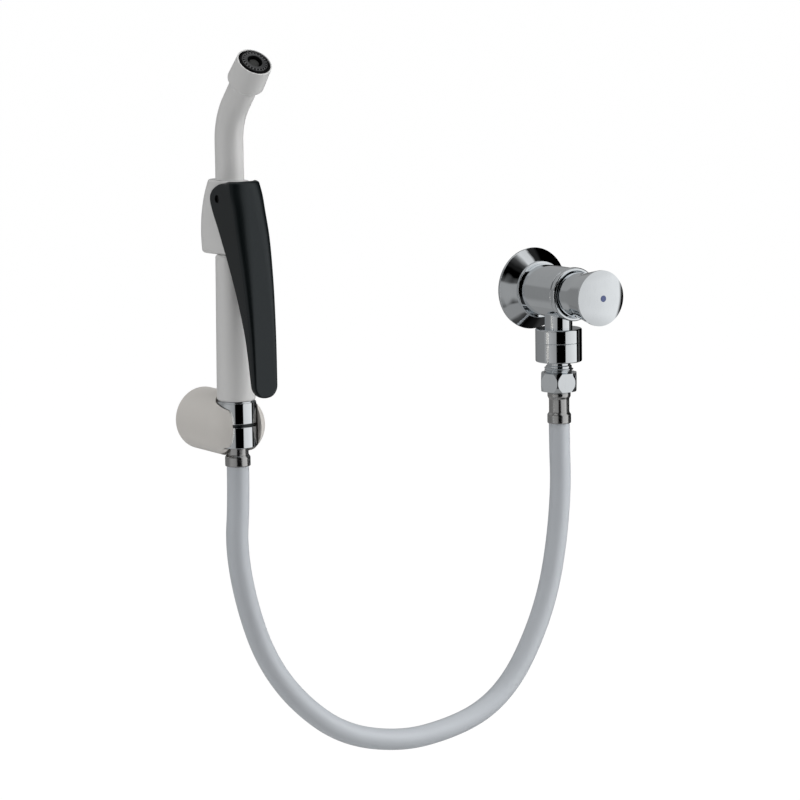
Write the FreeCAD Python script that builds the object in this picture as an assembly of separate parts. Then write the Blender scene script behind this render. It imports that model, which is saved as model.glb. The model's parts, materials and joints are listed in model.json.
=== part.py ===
import FreeCAD, Part
import math
import os
from FreeCAD import Vector

# Hand shower on a wall holder, fed through a hose by a push valve.
# X runs along the wall, -Y points into the room, +Z is up, and sizes are in millimetres.
# The origin is on the wall plane, on the axis of the valve's inlet.

# Where the groups stand
handset_offset = 276.5      # valve axis to handset axis, along the wall
handset_standoff = 46.6     # wall to handset axis at the holder
outlet_standoff = 33.4      # wall to the valve's outlet axis
holder_drop = 67.3          # holder axis below valve axis

# Fits
running_clearance = 0.05    # radial, pins and stems in their holes
push_clearance = 0.05       # radial, parts pushed together for good
loose_gap = 0.3             # between pieces that move past each other
seat_gap = 0.2              # under the handset nut in the holder
cut_past = 1.0              # how far a drill or saw runs past the face

# Wall holder
drum_radius = 21.2
drum_length = 41.8          # wall to the centre of the round nose
drum_wall = 3.0
drum_back_round = 1.5
drum_pocket = 25.0          # depth of the hollow behind
cradle_wall_gap = 0.7       # radial, handset nut to cradle
cradle_mouth = 22.0         # width of the open front
ledge_drop = 14.0           # ledge under the handset nut, below the drum's axis
ledge_hole_radius = 11.0
screw_spacing = 18.0
screw_radius = 2.1          # of the thread, in the wall
screw_shank_radius = 1.8    # in the holder
screw_hole_radius = 2.3
screw_head_radius = 3.9
screw_head_height = 2.6
screw_head_round = 1.2
screw_point_length = 4.2
screw_length = 44.0
screw_boss_radius = 4.6
screw_slot_width = 1.0
screw_slot_depth = 1.2

# Handset inlet: union, ring and nut
connector_radius = 13.2
connector_edge = 0.5
nut_height = 14.2
nut_floor_height = 4.8      # from the nut's lower end to its inner floor
nut_floor = 1.3
ring_height = 2.0
ring_radius = 12.3
union_height = 14.3
union_neck_height = 0.7
union_neck_radius = 12.4
union_spigot_length = 15.0
union_bore_radius = 5.0
thread_radius = 10.48       # G1/2 pipe thread
thread_clearance = 0.12
thread_edge = 0.6
washer_thickness = 1.5
washer_hole_radius = 5.5

# Hose ends
tail_flange_radius = 9.4
tail_flange_height = 1.9
tail_shank_radius = 5.6
tail_bore_radius = 3.4
barb_taper_length = 1.5
barb_taper = 0.8
ferrule_sleeve_radius = 8.55
ferrule_sleeve_height = 6.4
ferrule_neck_radius = 7.3
ferrule_taper = 1.6
ferrule_top_radius = 8.35
ferrule_top_height = 3.6
ferrule_edge = 0.7
ferrule_round = 1.0
hose_radius = 7.5
hose_bore_radius = 5.0
hose_grip_depth = 6.2       # how far the hose reaches into its ferrule
hose_end_gap = 0.1          # radial, hose in its ferrule and on its tail
handset_ferrule_length = 17.9
valve_ferrule_length = 23.2

# Handset grip
grip_length = 97.7
grip_radius_low = 13.0
grip_radius_high = 11.0
grip_setback = 1.6          # how far the upper end stands nearer the wall
grip_lip_height = 8.0
grip_lip_round = 1.8
grip_top_round = 1.8
grip_bore_low = 8.0
grip_bore_high = 6.0
grip_spigot_radius = 7.6
grip_spigot_length = 6.0

# Valve housing of the handset
housing_height = 49.6
housing_rear_radius = 10.8
housing_front_radius = 8.4
housing_rear_reach = 18.2   # spout axis to the rear circle's centre, at the widest height
housing_front_reach = 8.5   # spout axis to the front circle's centre
housing_bulge = 64.0        # radius of the rear outline in side view
housing_bulge_height = 13.2 # widest height above the housing's underside
housing_sections = 7
housing_edge = 1.2
housing_low_edge = 2.4
spout_setback = 2.1         # spout axis nearer the wall than the holder's handset axis

# Hand valve, on a level axis through the housing
valve_height = 14.2         # valve axis above the housing's underside
chamber_radius = 6.6
chamber_rear_reach = 24.0   # spout axis to the chamber's closed end
seat_rear_reach = 2.5       # spout axis to the seat's rear face
seat_thickness = 2.0
seat_hole_radius = 4.0
port_radius = 2.2
port_margin = 0.3
plunger_stem_radius = 2.2
plunger_nose_radius = 3.6
plunger_nose_length = 5.0
plunger_nose_round = 2.2
plunger_flange_radius = 5.2
plunger_flange_thickness = 2.0
plunger_disc_radius = 5.6
plunger_disc_thickness = 1.8
gland_radius = 6.4
gland_flange_radius = 7.4
gland_flange_thickness = 3.0
gland_length = 9.0
gland_edge = 0.5
seal_section = 0.7          # radius of a small O-ring's cord
seal_room = 2.0             # width of the groove that holds it
hand_spring_radius = 4.2
hand_spring_wire = 0.4
hand_spring_turns = 5

# Lever
lever_top_drop = 0.2        # lever's top below the housing's top
lever_length = 141.5
lever_top_half_width = 12.4
lever_low_half_width = 9.0
lever_tip_round = 8.3
lever_wall = 1.6
lever_web = 2.0
lever_edge = 5.0
lever_top_round = 2.5
lever_front_top = 20.9      # spout axis to the web's outer face, at the top
lever_front_brow = 26.0     # the same where its short top run ends
lever_front_knee = 39.2     # the same where its two long runs meet
lever_front_low = 45.0      # the same at the tip
lever_brow_drop = 10.0      # brow below the lever's top
lever_brow_round = 30.0
lever_knee_drop = 54.1      # knee below the lever's top
lever_knee_round = 220.0
lever_cheek_low = 5.9       # depth of the cheeks at the tip
lever_cheek_bend_drop = 96.9
lever_cheek_bend_reach = 35.0
lever_cheek_bend_round = 130.0
lever_back_reach = 14.3     # spout axis back to the cheek's upper rear corner, before rounding
lever_back_round = 14.0
pivot_reach = 3.5           # spout axis to pivot axis
pivot_drop = 11.7           # pivot below the lever's top
pivot_radius = 2.4
pivot_pin_depth = 3.0       # how far each pin sits in the housing
pivot_pin_recess = 0.9      # pin's end below the cheek's face

# Spout and spray head
spout_radius = 9.5
spout_wall = 1.6
spout_rise = 25.0
spout_bend_radius = 38.0
spout_lean = 42.0           # degrees from upright
spout_run = 38.1            # from the bend to the spray face
spigot_radius = 7.2
spigot_length = 9.4
spigot_bore_radius = 5.2
collar_length = 20.8
collar_radius_low = 12.6
collar_radius_high = 11.95
collar_shoulder = 2.9
collar_shoulder_round = 1.6
collar_edge = 0.35
collar_shoulder_radius = 10.1
collar_face_depth = 7.0
collar_seal_depth = 10.5
face_radius = 11.05
face_thickness = 3.6
face_recess = 0.35
face_rim_width = 1.8
face_step = 0.5
face_edge = 0.25
nozzle_count = 22
nozzle_ring_radius = 8.1
nozzle_radius = 0.45
face_well_radius = 5.0
face_well_depth = 1.6
core_radius = 3.7
core_height = 1.2
strainer_thickness = 0.8
strainer_hole_radius = 0.9

# Push valve body, sizes along its axis are measured out from the wall
inlet_length = 14.0         # threaded inlet behind the wall plane
inlet_bore_radius = 8.2
barrel_radius = 18.5
barrel_start = 2.5
barrel_end = 49.0
barrel_edge = 1.0
chamber_bore_radius = 14.0
stem_seat_start = 11.5
stem_seat_thickness = 3.0
stem_seat_radius = 5.2
outlet_radius = 10.0
outlet_bore_radius = 6.5
strainer_depth = 6.0

# Escutcheon
escutcheon_radius = 29.6
escutcheon_back_radius = 29.0
escutcheon_rim = 2.3        # wall to the widest circle
escutcheon_rim_round = 0.8
escutcheon_skin = 1.2
escutcheon_skirt_radius = 27.4
escutcheon_skirt_height = 4.4
escutcheon_skirt_round = 9.0
escutcheon_hub_radius = 20.6
escutcheon_hub_start = 11.0
escutcheon_hub_height = 13.0
escutcheon_hub_round = 0.7
escutcheon_hub_depth = 3.0  # how much of the barrel the hub holds

# Bonnet, cartridge, stem and button
bonnet_groove = 1.0
bonnet_radius = 19.2
bonnet_thickness = 4.2
bonnet_hole_radius = 16.9
bonnet_back_edge = 0.6
bonnet_front_edge = 1.2
bonnet_mouth_edge = 0.5
cartridge_length = 17.0
cartridge_hub_radius = 7.0
cartridge_rim = 2.0
stem_radius = 3.0
stem_head_radius = 6.6
stem_head_thickness = 2.0
stem_disc_thickness = 1.8
button_travel = 8.0
button_neck_radius = 16.2
button_wall = 1.6
button_neck_start = 46.5
button_flare_start = 66.0
button_rim_radius = 19.75
button_rim_distance = 82.6
button_face_distance = 87.0
button_flare_round = 22.0
button_rim_round = 1.5
button_neck_edge = 0.5
button_socket_depth = 4.0   # of the stem in the button
dot_radius = 2.3
dot_depth = 1.0
dot_proud = 0.1
return_spring_radius = 9.6
return_spring_wire = 0.6
return_spring_turns = 6

# Vacuum breaker under the valve, heights are measured down from the valve axis
breaker_radius = 16.75
breaker_top = 26.0
breaker_seam = 36.0
breaker_bottom = 49.9
breaker_edge = 1.2
breaker_low_edge = 0.9
breaker_seam_edge = 0.3
breaker_wall = 1.6
breaker_spigot = 3.0
outlet_neck_radius = 8.4
outlet_neck_length = 2.6
outlet_shoulder = 0.5
thread_root_radius = 9.3    # where the thread shows above the nut
outlet_thread_end = 66.2
breaker_disc_radius = 12.6
breaker_disc_thickness = 1.4
breaker_cone_height = 7.0
breaker_cone_hole = 4.5
air_slot_width = 2.0
air_slot_count = 6

# Hexagon hose nut at the valve
hex_across_flats = 25.0
hex_top = 58.0
hex_height = 13.3
hex_turn = 39.5             # degrees, a corner's bearing from the outward line
hex_end_radius = 13.0       # the corners are turned down to a barrel shape
hex_middle_radius = 14.25
hex_turned_length = 4.5
hex_turned_round = 12.0

# Derived places
handset_x = -handset_offset
up = Vector(0, 0, 1)
down = Vector(0, 0, -1)
out = Vector(0, -1, 0)
sideways = Vector(1, 0, 0)

nut_bottom = -holder_drop - ledge_drop + seat_gap
nut_top = nut_bottom + nut_height
union_bottom = nut_top + ring_height
union_top = union_bottom + union_height
grip_bottom = union_top + union_neck_height
grip_top = grip_bottom + grip_length
housing_top = grip_top + housing_height
hand_valve_z = grip_top + valve_height
spout_y = -(handset_standoff - spout_setback)
grip_top_y = -(handset_standoff - grip_setback)
lever_top = housing_top - lever_top_drop
lever_bottom = lever_top - lever_length
pivot_z = lever_top - pivot_drop
pivot_y = spout_y - pivot_reach
handset_tail_z = nut_bottom + nut_floor_height + nut_floor
handset_ferrule_top = nut_bottom + nut_floor_height - seat_gap
hex_bottom = -(hex_top + hex_height)
valve_ferrule_top = hex_bottom - seat_gap
valve_tail_z = hex_bottom + nut_floor
connector_axis = Vector(handset_x, -handset_standoff, 0)
outlet_axis = Vector(0, -outlet_standoff, 0)
button_room = button_neck_start - button_travel - 2 * loose_gap
spray_axis = Vector(0, -math.sin(math.radians(spout_lean)), math.cos(math.radians(spout_lean)))

nodes = {}


# Shapes that repeat

def corner_arc(before, corner, after, radius):
    # the arc of that radius that touches both legs of a corner, with its two ends
    leg_in = (before - corner).normalize()
    leg_out = (after - corner).normalize()
    half_angle = leg_in.getAngle(leg_out) / 2
    middle_line = (leg_in + leg_out).normalize()
    touch = radius / math.tan(half_angle)
    centre = corner + middle_line * (radius / math.sin(half_angle))
    start = corner + leg_in * touch
    end = corner + leg_out * touch
    return Part.Arc(start, centre - middle_line * radius, end).toShape(), start, end


def rounded_wire(corners, closed=True):
    # straight legs joined by tangent arcs; each corner is a point and its rounding radius
    count = len(corners)
    stations = []
    for index, (point, radius) in enumerate(corners):
        at_end = not closed and index in (0, count - 1)
        if radius == 0 or at_end:
            stations.append((None, point, point))
        else:
            before = corners[index - 1][0]
            after = corners[(index + 1) % count][0]
            stations.append(corner_arc(before, point, after, radius))
    edges = []
    for index, (arc, start, end) in enumerate(stations):
        if arc:
            edges.append(arc)
        if closed or index < count - 1:
            next_start = stations[(index + 1) % count][1]
            edges.append(Part.LineSegment(end, next_start).toShape())
    return Part.Wire(edges)


def lathe(profile, base, axis):
    # turns an outline of (radius, distance along the axis, rounding) about the axis through base
    corners = []
    for corner in profile:
        rounding = corner[2] if len(corner) > 2 else 0
        corners.append((Vector(corner[0], 0, corner[1]), rounding))
    turned = Part.Face(rounded_wire(corners)).revolve(Vector(0, 0, 0), up, 360)
    turned.Placement = FreeCAD.Placement(base, FreeCAD.Rotation(up, axis))
    return turned


def rod(radius, start, end, base, axis):
    return Part.makeCylinder(radius, end - start, base + axis * start, axis)


def ring(radius, hole, start, end, base, axis):
    return rod(radius, start, end, base, axis).cut(rod(hole, start, end, base, axis))


def prism(corners, depth):
    return Part.Face(rounded_wire(corners)).extrude(depth)


def sweep(path, radius, start, direction):
    circle = Part.Wire(Part.Circle(start, direction, radius).toShape())
    return path.makePipeShell([circle], True, False)


def biarc(start, start_way, end, end_way):
    # two tangent arcs of equal leg that join two points with given directions
    chord = end - start
    ways = start_way + end_way
    spread = 2 * (1 - start_way.dot(end_way))
    along = chord.dot(ways)
    leg = (math.sqrt(along * along + spread * chord.dot(chord)) - along) / spread
    first_corner = start + start_way * leg
    second_corner = end - end_way * leg
    joint = (first_corner + second_corner) * 0.5
    edges = []
    for a, corner, b in ((start, first_corner, joint), (joint, second_corner, end)):
        middle = (a + b) * 0.5
        height = (middle - corner).Length
        half_chord = (b - a).Length / 2
        radius = half_chord * leg / height
        inset = math.sqrt(radius * radius + leg * leg) - radius
        bow = corner + (middle - corner).normalize() * inset
        edges.append(Part.Arc(a, bow, b).toShape())
    return edges


def coil(radius, wire, turns, length, base, axis):
    # one unbroken round wire wound about the axis, quarter turn by quarter turn
    pitch = (length - 2 * wire) / turns
    side = Vector(1, 0, 0)
    front = axis.cross(side)

    def station(quarter):
        angle = quarter * math.pi / 2
        spoke = side * math.cos(angle) + front * math.sin(angle)
        round_way = front * math.cos(angle) - side * math.sin(angle)
        point = base + spoke * radius + axis * (wire + pitch * quarter / 4)
        way = round_way * (2 * math.pi * radius) + axis * pitch
        return point, way.normalize()

    edges = []
    for quarter in range(4 * turns):
        start, start_way = station(quarter)
        end, end_way = station(quarter + 1)
        edges += biarc(start, start_way, end, end_way)
    start, start_way = station(0)
    return sweep(Part.Wire(edges), wire, start, start_way)


def o_ring(inner_radius, distance, base, axis):
    return Part.makeTorus(inner_radius + seal_section, seal_section, base + axis * distance, axis)


def sieve_holes(radius, rings, start, end, base, axis):
    # one hole in the middle and six more for each ring round it, three radii apart
    side = sideways if abs(axis.x) < 0.5 else up
    across = side.cross(axis)
    holes = [rod(radius, start, end, base, axis)]
    for number in range(1, rings + 1):
        for index in range(6 * number):
            angle = math.pi * index / (3 * number)
            spoke = side * math.cos(angle) + across * math.sin(angle)
            holes.append(rod(radius, start, end, base + spoke * (3 * radius * number), axis))
    return Part.makeCompound(holes)


def hexagon(across_flats, start, end, turn, base):
    # upright hexagon prism between two heights, one corner at the given bearing
    corner_radius = across_flats / math.sqrt(3)
    corners = []
    for index in range(6):
        bearing = math.radians(turn + 60 * index)
        offset = Vector(-math.sin(bearing), -math.cos(bearing), 0) * corner_radius
        corners.append((base + offset + up * start, 0))
    return prism(corners, up * (end - start))


# Wall holder

def make_holder():
    centre = Vector(handset_x, 0, -holder_drop)
    drum = lathe([
        (0, 0),
        (drum_radius, 0, drum_back_round),
        (drum_radius, drum_length),
        (0, drum_length),
    ], centre, out)
    nose = Part.makeSphere(drum_radius, centre + out * drum_length)
    body = drum.fuse(nose).removeSplitter()
    body = body.cut(rod(drum_radius - drum_wall, 0, drum_pocket, centre, out))

    cradle_radius = connector_radius + cradle_wall_gap
    reach = drum_radius * 2
    ledge = -holder_drop - ledge_drop
    body = body.cut(rod(cradle_radius, ledge, ledge + reach, connector_axis, up))
    body = body.cut(rod(ledge_hole_radius, ledge - reach, ledge, connector_axis, up))
    mouth = Part.makeBox(cradle_mouth, reach, 2 * reach)
    mouth.translate(Vector(handset_x - cradle_mouth / 2, -handset_standoff - reach, -holder_drop - reach))
    body = body.cut(mouth)

    cradle_back = handset_standoff - cradle_radius
    head_seat = cradle_back - screw_head_height - loose_gap
    screws = []
    for side in (-1, 1):
        base = centre + up * (side * screw_spacing / 2)
        body = body.fuse(rod(screw_boss_radius, 0, drum_pocket + cut_past, base, out))
        body = body.cut(rod(screw_hole_radius, 0, cradle_back + cut_past, base, out))
        body = body.cut(rod(screw_head_radius + loose_gap, head_seat, handset_standoff, base, out))
        screws.append(make_screw(head_seat + push_clearance, base))
    nodes["holder_body"] = body.removeSplitter()
    nodes["holder_screws"] = Part.makeCompound(screws)


def make_screw(head_seat, base):
    # the thread starts at the wall plane, and the plain shank fills the holder's hole
    tip = head_seat + screw_head_height - screw_length
    profile = [
        (0, tip),
        (screw_radius, tip + screw_point_length),
        (screw_radius, 0),
        (screw_shank_radius, 0),
        (screw_shank_radius, head_seat),
        (screw_head_radius, head_seat),
        (screw_head_radius, head_seat + screw_head_height, screw_head_round),
        (0, head_seat + screw_head_height),
    ]
    screw = lathe(profile, base, out)
    top = head_seat + screw_head_height
    slot = Part.makeBox(2 * screw_head_radius, screw_slot_depth, screw_slot_width)
    slot.translate(base + Vector(-screw_head_radius, -top, -screw_slot_width / 2))
    return screw.cut(slot)


# Hose and its two ends

def make_tail(flange_bottom, ferrule_bottom, axis_point):
    barb_radius = hose_bore_radius - hose_end_gap
    hose_end = ferrule_bottom + hose_grip_depth
    barb_end = ferrule_bottom - hose_grip_depth
    profile = [
        (tail_bore_radius, flange_bottom + tail_flange_height),
        (tail_flange_radius, flange_bottom + tail_flange_height),
        (tail_flange_radius, flange_bottom),
        (tail_shank_radius, flange_bottom),
        (tail_shank_radius, hose_end),
        (barb_radius, hose_end),
        (barb_radius, barb_end + barb_taper_length),
        (barb_radius - barb_taper, barb_end),
        (tail_bore_radius, barb_end),
    ]
    return lathe(profile, axis_point, up)


def make_ferrule(top, length, axis_point):
    bottom = top - length
    inner = tail_shank_radius + push_clearance
    pocket = hose_radius + hose_end_gap
    hose_end = bottom + hose_grip_depth
    neck_bottom = bottom + ferrule_sleeve_height + ferrule_taper
    neck_top = top - ferrule_top_height - ferrule_taper
    profile = [
        (inner, hose_end),
        (pocket, hose_end),
        (pocket, bottom),
        (ferrule_sleeve_radius - ferrule_edge, bottom),
        (ferrule_sleeve_radius, bottom + ferrule_edge),
        (ferrule_sleeve_radius, bottom + ferrule_sleeve_height, ferrule_round),
        (ferrule_neck_radius, neck_bottom, ferrule_round),
        (ferrule_neck_radius, neck_top, ferrule_round),
        (ferrule_top_radius, top - ferrule_top_height, ferrule_round),
        (ferrule_top_radius, top, ferrule_edge),
        (inner, top),
    ]
    return lathe(profile, axis_point, up)


def make_hose_ends():
    handset_end = handset_ferrule_top - handset_ferrule_length
    valve_end = valve_ferrule_top - valve_ferrule_length
    nodes["handset_tail"] = make_tail(handset_tail_z, handset_end, connector_axis)
    nodes["handset_ferrule"] = make_ferrule(handset_ferrule_top, handset_ferrule_length, connector_axis)
    nodes["valve_tail"] = make_tail(valve_tail_z, valve_end, outlet_axis)
    nodes["valve_ferrule"] = make_ferrule(valve_ferrule_top, valve_ferrule_length, outlet_axis)
    return handset_end + hose_grip_depth, valve_end + hose_grip_depth


def make_hose(handset_end, valve_end):
    # the route hangs from the handset down to its lowest bend and up to the valve
    route = [
        connector_axis + up * handset_end,
        Vector(-276.5, -46.6, -119),
        Vector(-279.5, -46.8, -150.5),
        Vector(-272, -46.3, -191),
        Vector(-257, -45.7, -231.5),
        Vector(-231, -44.5, -265.5),
        Vector(-193.5, -42.6, -294),
        Vector(-145, -40.3, -306.5),
        Vector(-104.5, -38.4, -304.5),
        Vector(-70.5, -36.8, -296),
        Vector(-44.5, -35.5, -277),
        Vector(-24.5, -34.6, -247),
        Vector(-10.5, -33.9, -214.5),
        Vector(-2.5, -33.6, -176),
        Vector(1, -33.4, -139),
        Vector(0, -33.4, -112),
        outlet_axis + up * valve_end,
    ]
    corners = [(route[0], 0)]
    radii = []
    for before, point, after in zip(route, route[1:], route[2:]):
        turn = (point - before).getAngle(after - point)
        shorter = min((point - before).Length, (after - point).Length)
        radius = 0.45 * shorter / math.tan(turn / 2)
        radii.append(radius)
        corners.append((point, radius))
    corners.append((route[-1], 0))
    path = rounded_wire(corners, closed=False)
    start_way = (route[1] - route[0]).normalize()
    tube = sweep(path, hose_radius, route[0], start_way)
    bore = sweep(path, hose_bore_radius, route[0], start_way)
    hose = tube.cut(bore)
    section = math.pi * (hose_radius ** 2 - hose_bore_radius ** 2)
    print("hose length", round(path.Length, 1), "volume ratio", round(hose.Volume / section / path.Length, 4))
    print("hose bend radii", [round(radius) for radius in radii])
    nodes["hose"] = hose


# Handset inlet

def make_inlet():
    thread_end = handset_tail_z + tail_flange_height + washer_thickness
    union = [
        (union_bore_radius, thread_end),
        (thread_radius, thread_end, thread_edge),
        (thread_radius, union_bottom),
        (connector_radius, union_bottom, connector_edge),
        (connector_radius, union_top, connector_edge),
        (union_neck_radius, union_top),
        (union_neck_radius, grip_bottom),
        (grip_bore_low - push_clearance, grip_bottom),
        (grip_bore_low - push_clearance, grip_bottom + union_spigot_length),
        (union_bore_radius, grip_bottom + union_spigot_length),
    ]
    nodes["inlet_union"] = lathe(union, connector_axis, up)
    thread_hole = thread_radius + thread_clearance
    nodes["union_ring"] = ring(ring_radius, thread_hole, nut_top, union_bottom, connector_axis, up)
    nut = [
        (ferrule_top_radius + loose_gap, nut_bottom),
        (connector_radius, nut_bottom, connector_edge),
        (connector_radius, nut_top, connector_edge),
        (thread_hole, nut_top),
        (thread_hole, handset_tail_z),
        (tail_shank_radius + loose_gap, handset_tail_z),
        (tail_shank_radius + loose_gap, nut_bottom + nut_floor_height),
        (ferrule_top_radius + loose_gap, nut_bottom + nut_floor_height),
    ]
    nodes["handset_nut"] = lathe(nut, connector_axis, up)
    washer_bottom = handset_tail_z + tail_flange_height
    nodes["handset_washer"] = ring(
        tail_flange_radius, washer_hole_radius, washer_bottom, thread_end, connector_axis, up)


# Handset grip and valve housing

def make_grip():
    lip_top = grip_bottom + grip_lip_height
    low = connector_axis + up * lip_top
    high = Vector(handset_x, grip_top_y, grip_top)
    lip = lathe([
        (grip_bore_low, grip_bottom),
        (grip_radius_low, grip_bottom, grip_lip_round),
        (grip_radius_low, lip_top),
        (grip_bore_low, lip_top),
    ], connector_axis, up)
    outer = Part.makeLoft([
        Part.Wire(Part.Circle(low, up, grip_radius_low).toShape()),
        Part.Wire(Part.Circle(high, up, grip_radius_high).toShape()),
    ], True, True)
    top_rim = [edge for edge in outer.Edges if edge.BoundBox.ZMin > grip_top - 0.01]
    outer = outer.makeFillet(grip_top_round, top_rim)
    bore_start = grip_bottom + union_spigot_length + loose_gap
    socket = rod(grip_bore_low, grip_bottom, bore_start, connector_axis, up)
    inner = Part.makeLoft([
        Part.Wire(Part.Circle(connector_axis + up * bore_start, up, grip_bore_low).toShape()),
        Part.Wire(Part.Circle(high, up, grip_bore_high).toShape()),
    ], True, True)
    spigot_axis = Vector(handset_x, grip_top_y, 0)
    spigot = rod(grip_spigot_radius, grip_top, grip_top + grip_spigot_length, spigot_axis, up)
    grip = lip.fuse(outer).fuse(spigot).cut(socket).cut(inner)
    grip = grip.cut(rod(grip_bore_high, grip_top, grip_top + grip_spigot_length, spigot_axis, up))
    nodes["grip_tube"] = grip.removeSplitter()


def housing_section(height):
    # outline round a rear and a front circle, with the rear one following the bulge
    offset = height - housing_bulge_height
    bulge = housing_bulge - math.sqrt(housing_bulge ** 2 - offset ** 2)
    rear_y = spout_y + housing_rear_reach - bulge
    front_y = spout_y - housing_front_reach
    z = grip_top + height
    lean = math.asin((housing_rear_radius - housing_front_radius) / (rear_y - front_y))

    def on_circle(centre_y, radius, side):
        return Vector(handset_x + side * radius * math.cos(lean), centre_y - radius * math.sin(lean), z)

    def half_way(centre_y, radius, side, end):
        # a point of the quarter between the tangent point and the end of the outline
        angle = (math.pi / 2 + end * lean) / 2 - end * lean
        return Vector(handset_x + side * radius * math.cos(angle), centre_y + end * radius * math.sin(angle), z)

    right_rear = on_circle(rear_y, housing_rear_radius, 1)
    left_rear = on_circle(rear_y, housing_rear_radius, -1)
    right_front = on_circle(front_y, housing_front_radius, 1)
    left_front = on_circle(front_y, housing_front_radius, -1)
    back = Vector(handset_x, rear_y + housing_rear_radius, z)
    front = Vector(handset_x, front_y - housing_front_radius, z)
    return Part.Wire([
        Part.Arc(right_rear, half_way(rear_y, housing_rear_radius, 1, 1), back).toShape(),
        Part.Arc(back, half_way(rear_y, housing_rear_radius, -1, 1), left_rear).toShape(),
        Part.LineSegment(left_rear, left_front).toShape(),
        Part.Arc(left_front, half_way(front_y, housing_front_radius, -1, -1), front).toShape(),
        Part.Arc(front, half_way(front_y, housing_front_radius, 1, -1), right_front).toShape(),
        Part.LineSegment(right_front, right_rear).toShape(),
    ])


def make_housing():
    step = housing_height / (housing_sections - 1)
    sections = [housing_section(step * index) for index in range(housing_sections)]
    shell = Part.makeLoft(sections, True, False)
    flat_edges = [edge for edge in shell.Edges if edge.BoundBox.ZLength < 0.01]
    top_rim = [edge for edge in flat_edges if edge.BoundBox.ZMin > hand_valve_z]
    low_rim = [edge for edge in flat_edges if edge.BoundBox.ZMin < hand_valve_z]
    shell = shell.makeFillet(housing_edge, top_rim)
    shell = shell.makeFillet(housing_low_edge, low_rim)

    base = Vector(handset_x, spout_y, hand_valve_z)
    front_end = housing_front_reach + housing_front_radius
    shell = shell.cut(rod(chamber_radius, -chamber_rear_reach, front_end + cut_past, base, out))

    grip_axis = Vector(handset_x, grip_top_y, 0)
    socket_end = grip_top + grip_spigot_length + seat_gap
    shell = shell.cut(rod(grip_spigot_radius + push_clearance, grip_top, socket_end, grip_axis, up))
    spout_axis = Vector(handset_x, spout_y, 0)
    socket_start = housing_top - spigot_length - seat_gap
    shell = shell.cut(rod(spigot_radius + push_clearance, socket_start, housing_top, spout_axis, up))

    seat_rear = spout_y + seat_rear_reach
    inlet_axis = Vector(handset_x, seat_rear + port_radius + port_margin, 0)
    shell = shell.cut(rod(port_radius, grip_top, hand_valve_z, inlet_axis, up))
    outlet_port_y = seat_rear - seat_thickness - port_radius - port_margin
    outlet_port = Vector(handset_x, outlet_port_y, 0)
    shell = shell.cut(rod(port_radius, hand_valve_z, socket_start, outlet_port, up))

    pins = []
    for side in (-1, 1):
        inner_end, outer_end = pin_span()
        base = Vector(handset_x, pivot_y, pivot_z)
        axis = sideways * side
        shell = shell.cut(rod(pivot_radius - running_clearance, inner_end, outer_end, base, axis))
        pins.append(rod(pivot_radius - running_clearance, inner_end, outer_end, base, axis))
    nodes["valve_housing"] = shell
    nodes["pivot_pins"] = Part.makeCompound(pins)


def housing_half_width(y):
    # half width of the housing's flat side at the pivot's height
    offset = pivot_z - grip_top - housing_bulge_height
    bulge = housing_bulge - math.sqrt(housing_bulge ** 2 - offset ** 2)
    rear_y = spout_y + housing_rear_reach - bulge
    front_y = spout_y - housing_front_reach
    share = (y - front_y) / (rear_y - front_y)
    return housing_front_radius + share * (housing_rear_radius - housing_front_radius)


def pin_span():
    inner_end = housing_half_width(pivot_y) - pivot_pin_depth
    outer_end = lever_half_width(pivot_z) - pivot_pin_recess
    return inner_end, outer_end


# Hand valve

def make_hand_valve():
    base = Vector(handset_x, spout_y, hand_valve_z)
    seat_rear = -seat_rear_reach
    seat_front = seat_rear + seat_thickness
    fit_radius = chamber_radius - push_clearance
    nodes["valve_seat"] = ring(fit_radius, seat_hole_radius, seat_rear, seat_front, base, out)

    front_end = housing_front_reach + housing_front_radius
    gland_inner_end = front_end + gland_flange_thickness - gland_length
    stem_hole = plunger_stem_radius + running_clearance
    seal_pocket = stem_hole + 2 * seal_section
    gland = lathe([
        (stem_hole, gland_inner_end + seal_room),
        (seal_pocket, gland_inner_end + seal_room),
        (seal_pocket, gland_inner_end),
        (gland_radius, gland_inner_end),
        (gland_radius, front_end),
        (gland_flange_radius, front_end, gland_edge),
        (gland_flange_radius, front_end + gland_flange_thickness, gland_edge),
        (stem_hole, front_end + gland_flange_thickness),
    ], base, out)
    nodes["gland_nut"] = gland
    nodes["plunger_seal"] = o_ring(stem_hole, gland_inner_end + seal_room / 2, base, out)

    tip = plunger_tip()
    disc_rear = seat_rear - plunger_disc_thickness - running_clearance
    flange_rear = disc_rear - plunger_flange_thickness
    plunger = lathe([
        (0, flange_rear),
        (plunger_flange_radius, flange_rear),
        (plunger_flange_radius, disc_rear),
        (plunger_stem_radius, disc_rear),
        (plunger_stem_radius, tip - plunger_nose_length),
        (plunger_nose_radius, tip - plunger_nose_length),
        (plunger_nose_radius, tip, plunger_nose_round),
        (0, tip),
    ], base, out)
    nodes["plunger"] = plunger
    nodes["plunger_disc"] = ring(
        plunger_disc_radius, plunger_stem_radius, disc_rear, disc_rear + plunger_disc_thickness, base, out)
    spring_length = flange_rear - loose_gap + chamber_rear_reach - loose_gap
    spring_base = base + out * (loose_gap - chamber_rear_reach)
    nodes["valve_spring"] = coil(
        hand_spring_radius, hand_spring_wire, hand_spring_turns, spring_length, spring_base, out)


def web_slope():
    # how far the web's upper long run leans out for each millimetre down
    return (lever_front_knee - lever_front_brow) / (lever_knee_drop - lever_brow_drop)


def plunger_tip():
    # distance from the spout axis to the plunger's nose, just short of the web's inner face
    slope = web_slope()
    web_level = web_outer(hand_valve_z) - lever_web * math.hypot(1, slope)
    flat = (plunger_nose_radius - plunger_nose_round) * slope
    bulge = plunger_nose_round * (math.hypot(1, slope) - 1)
    return web_level - flat - bulge - loose_gap


# Lever

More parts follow.
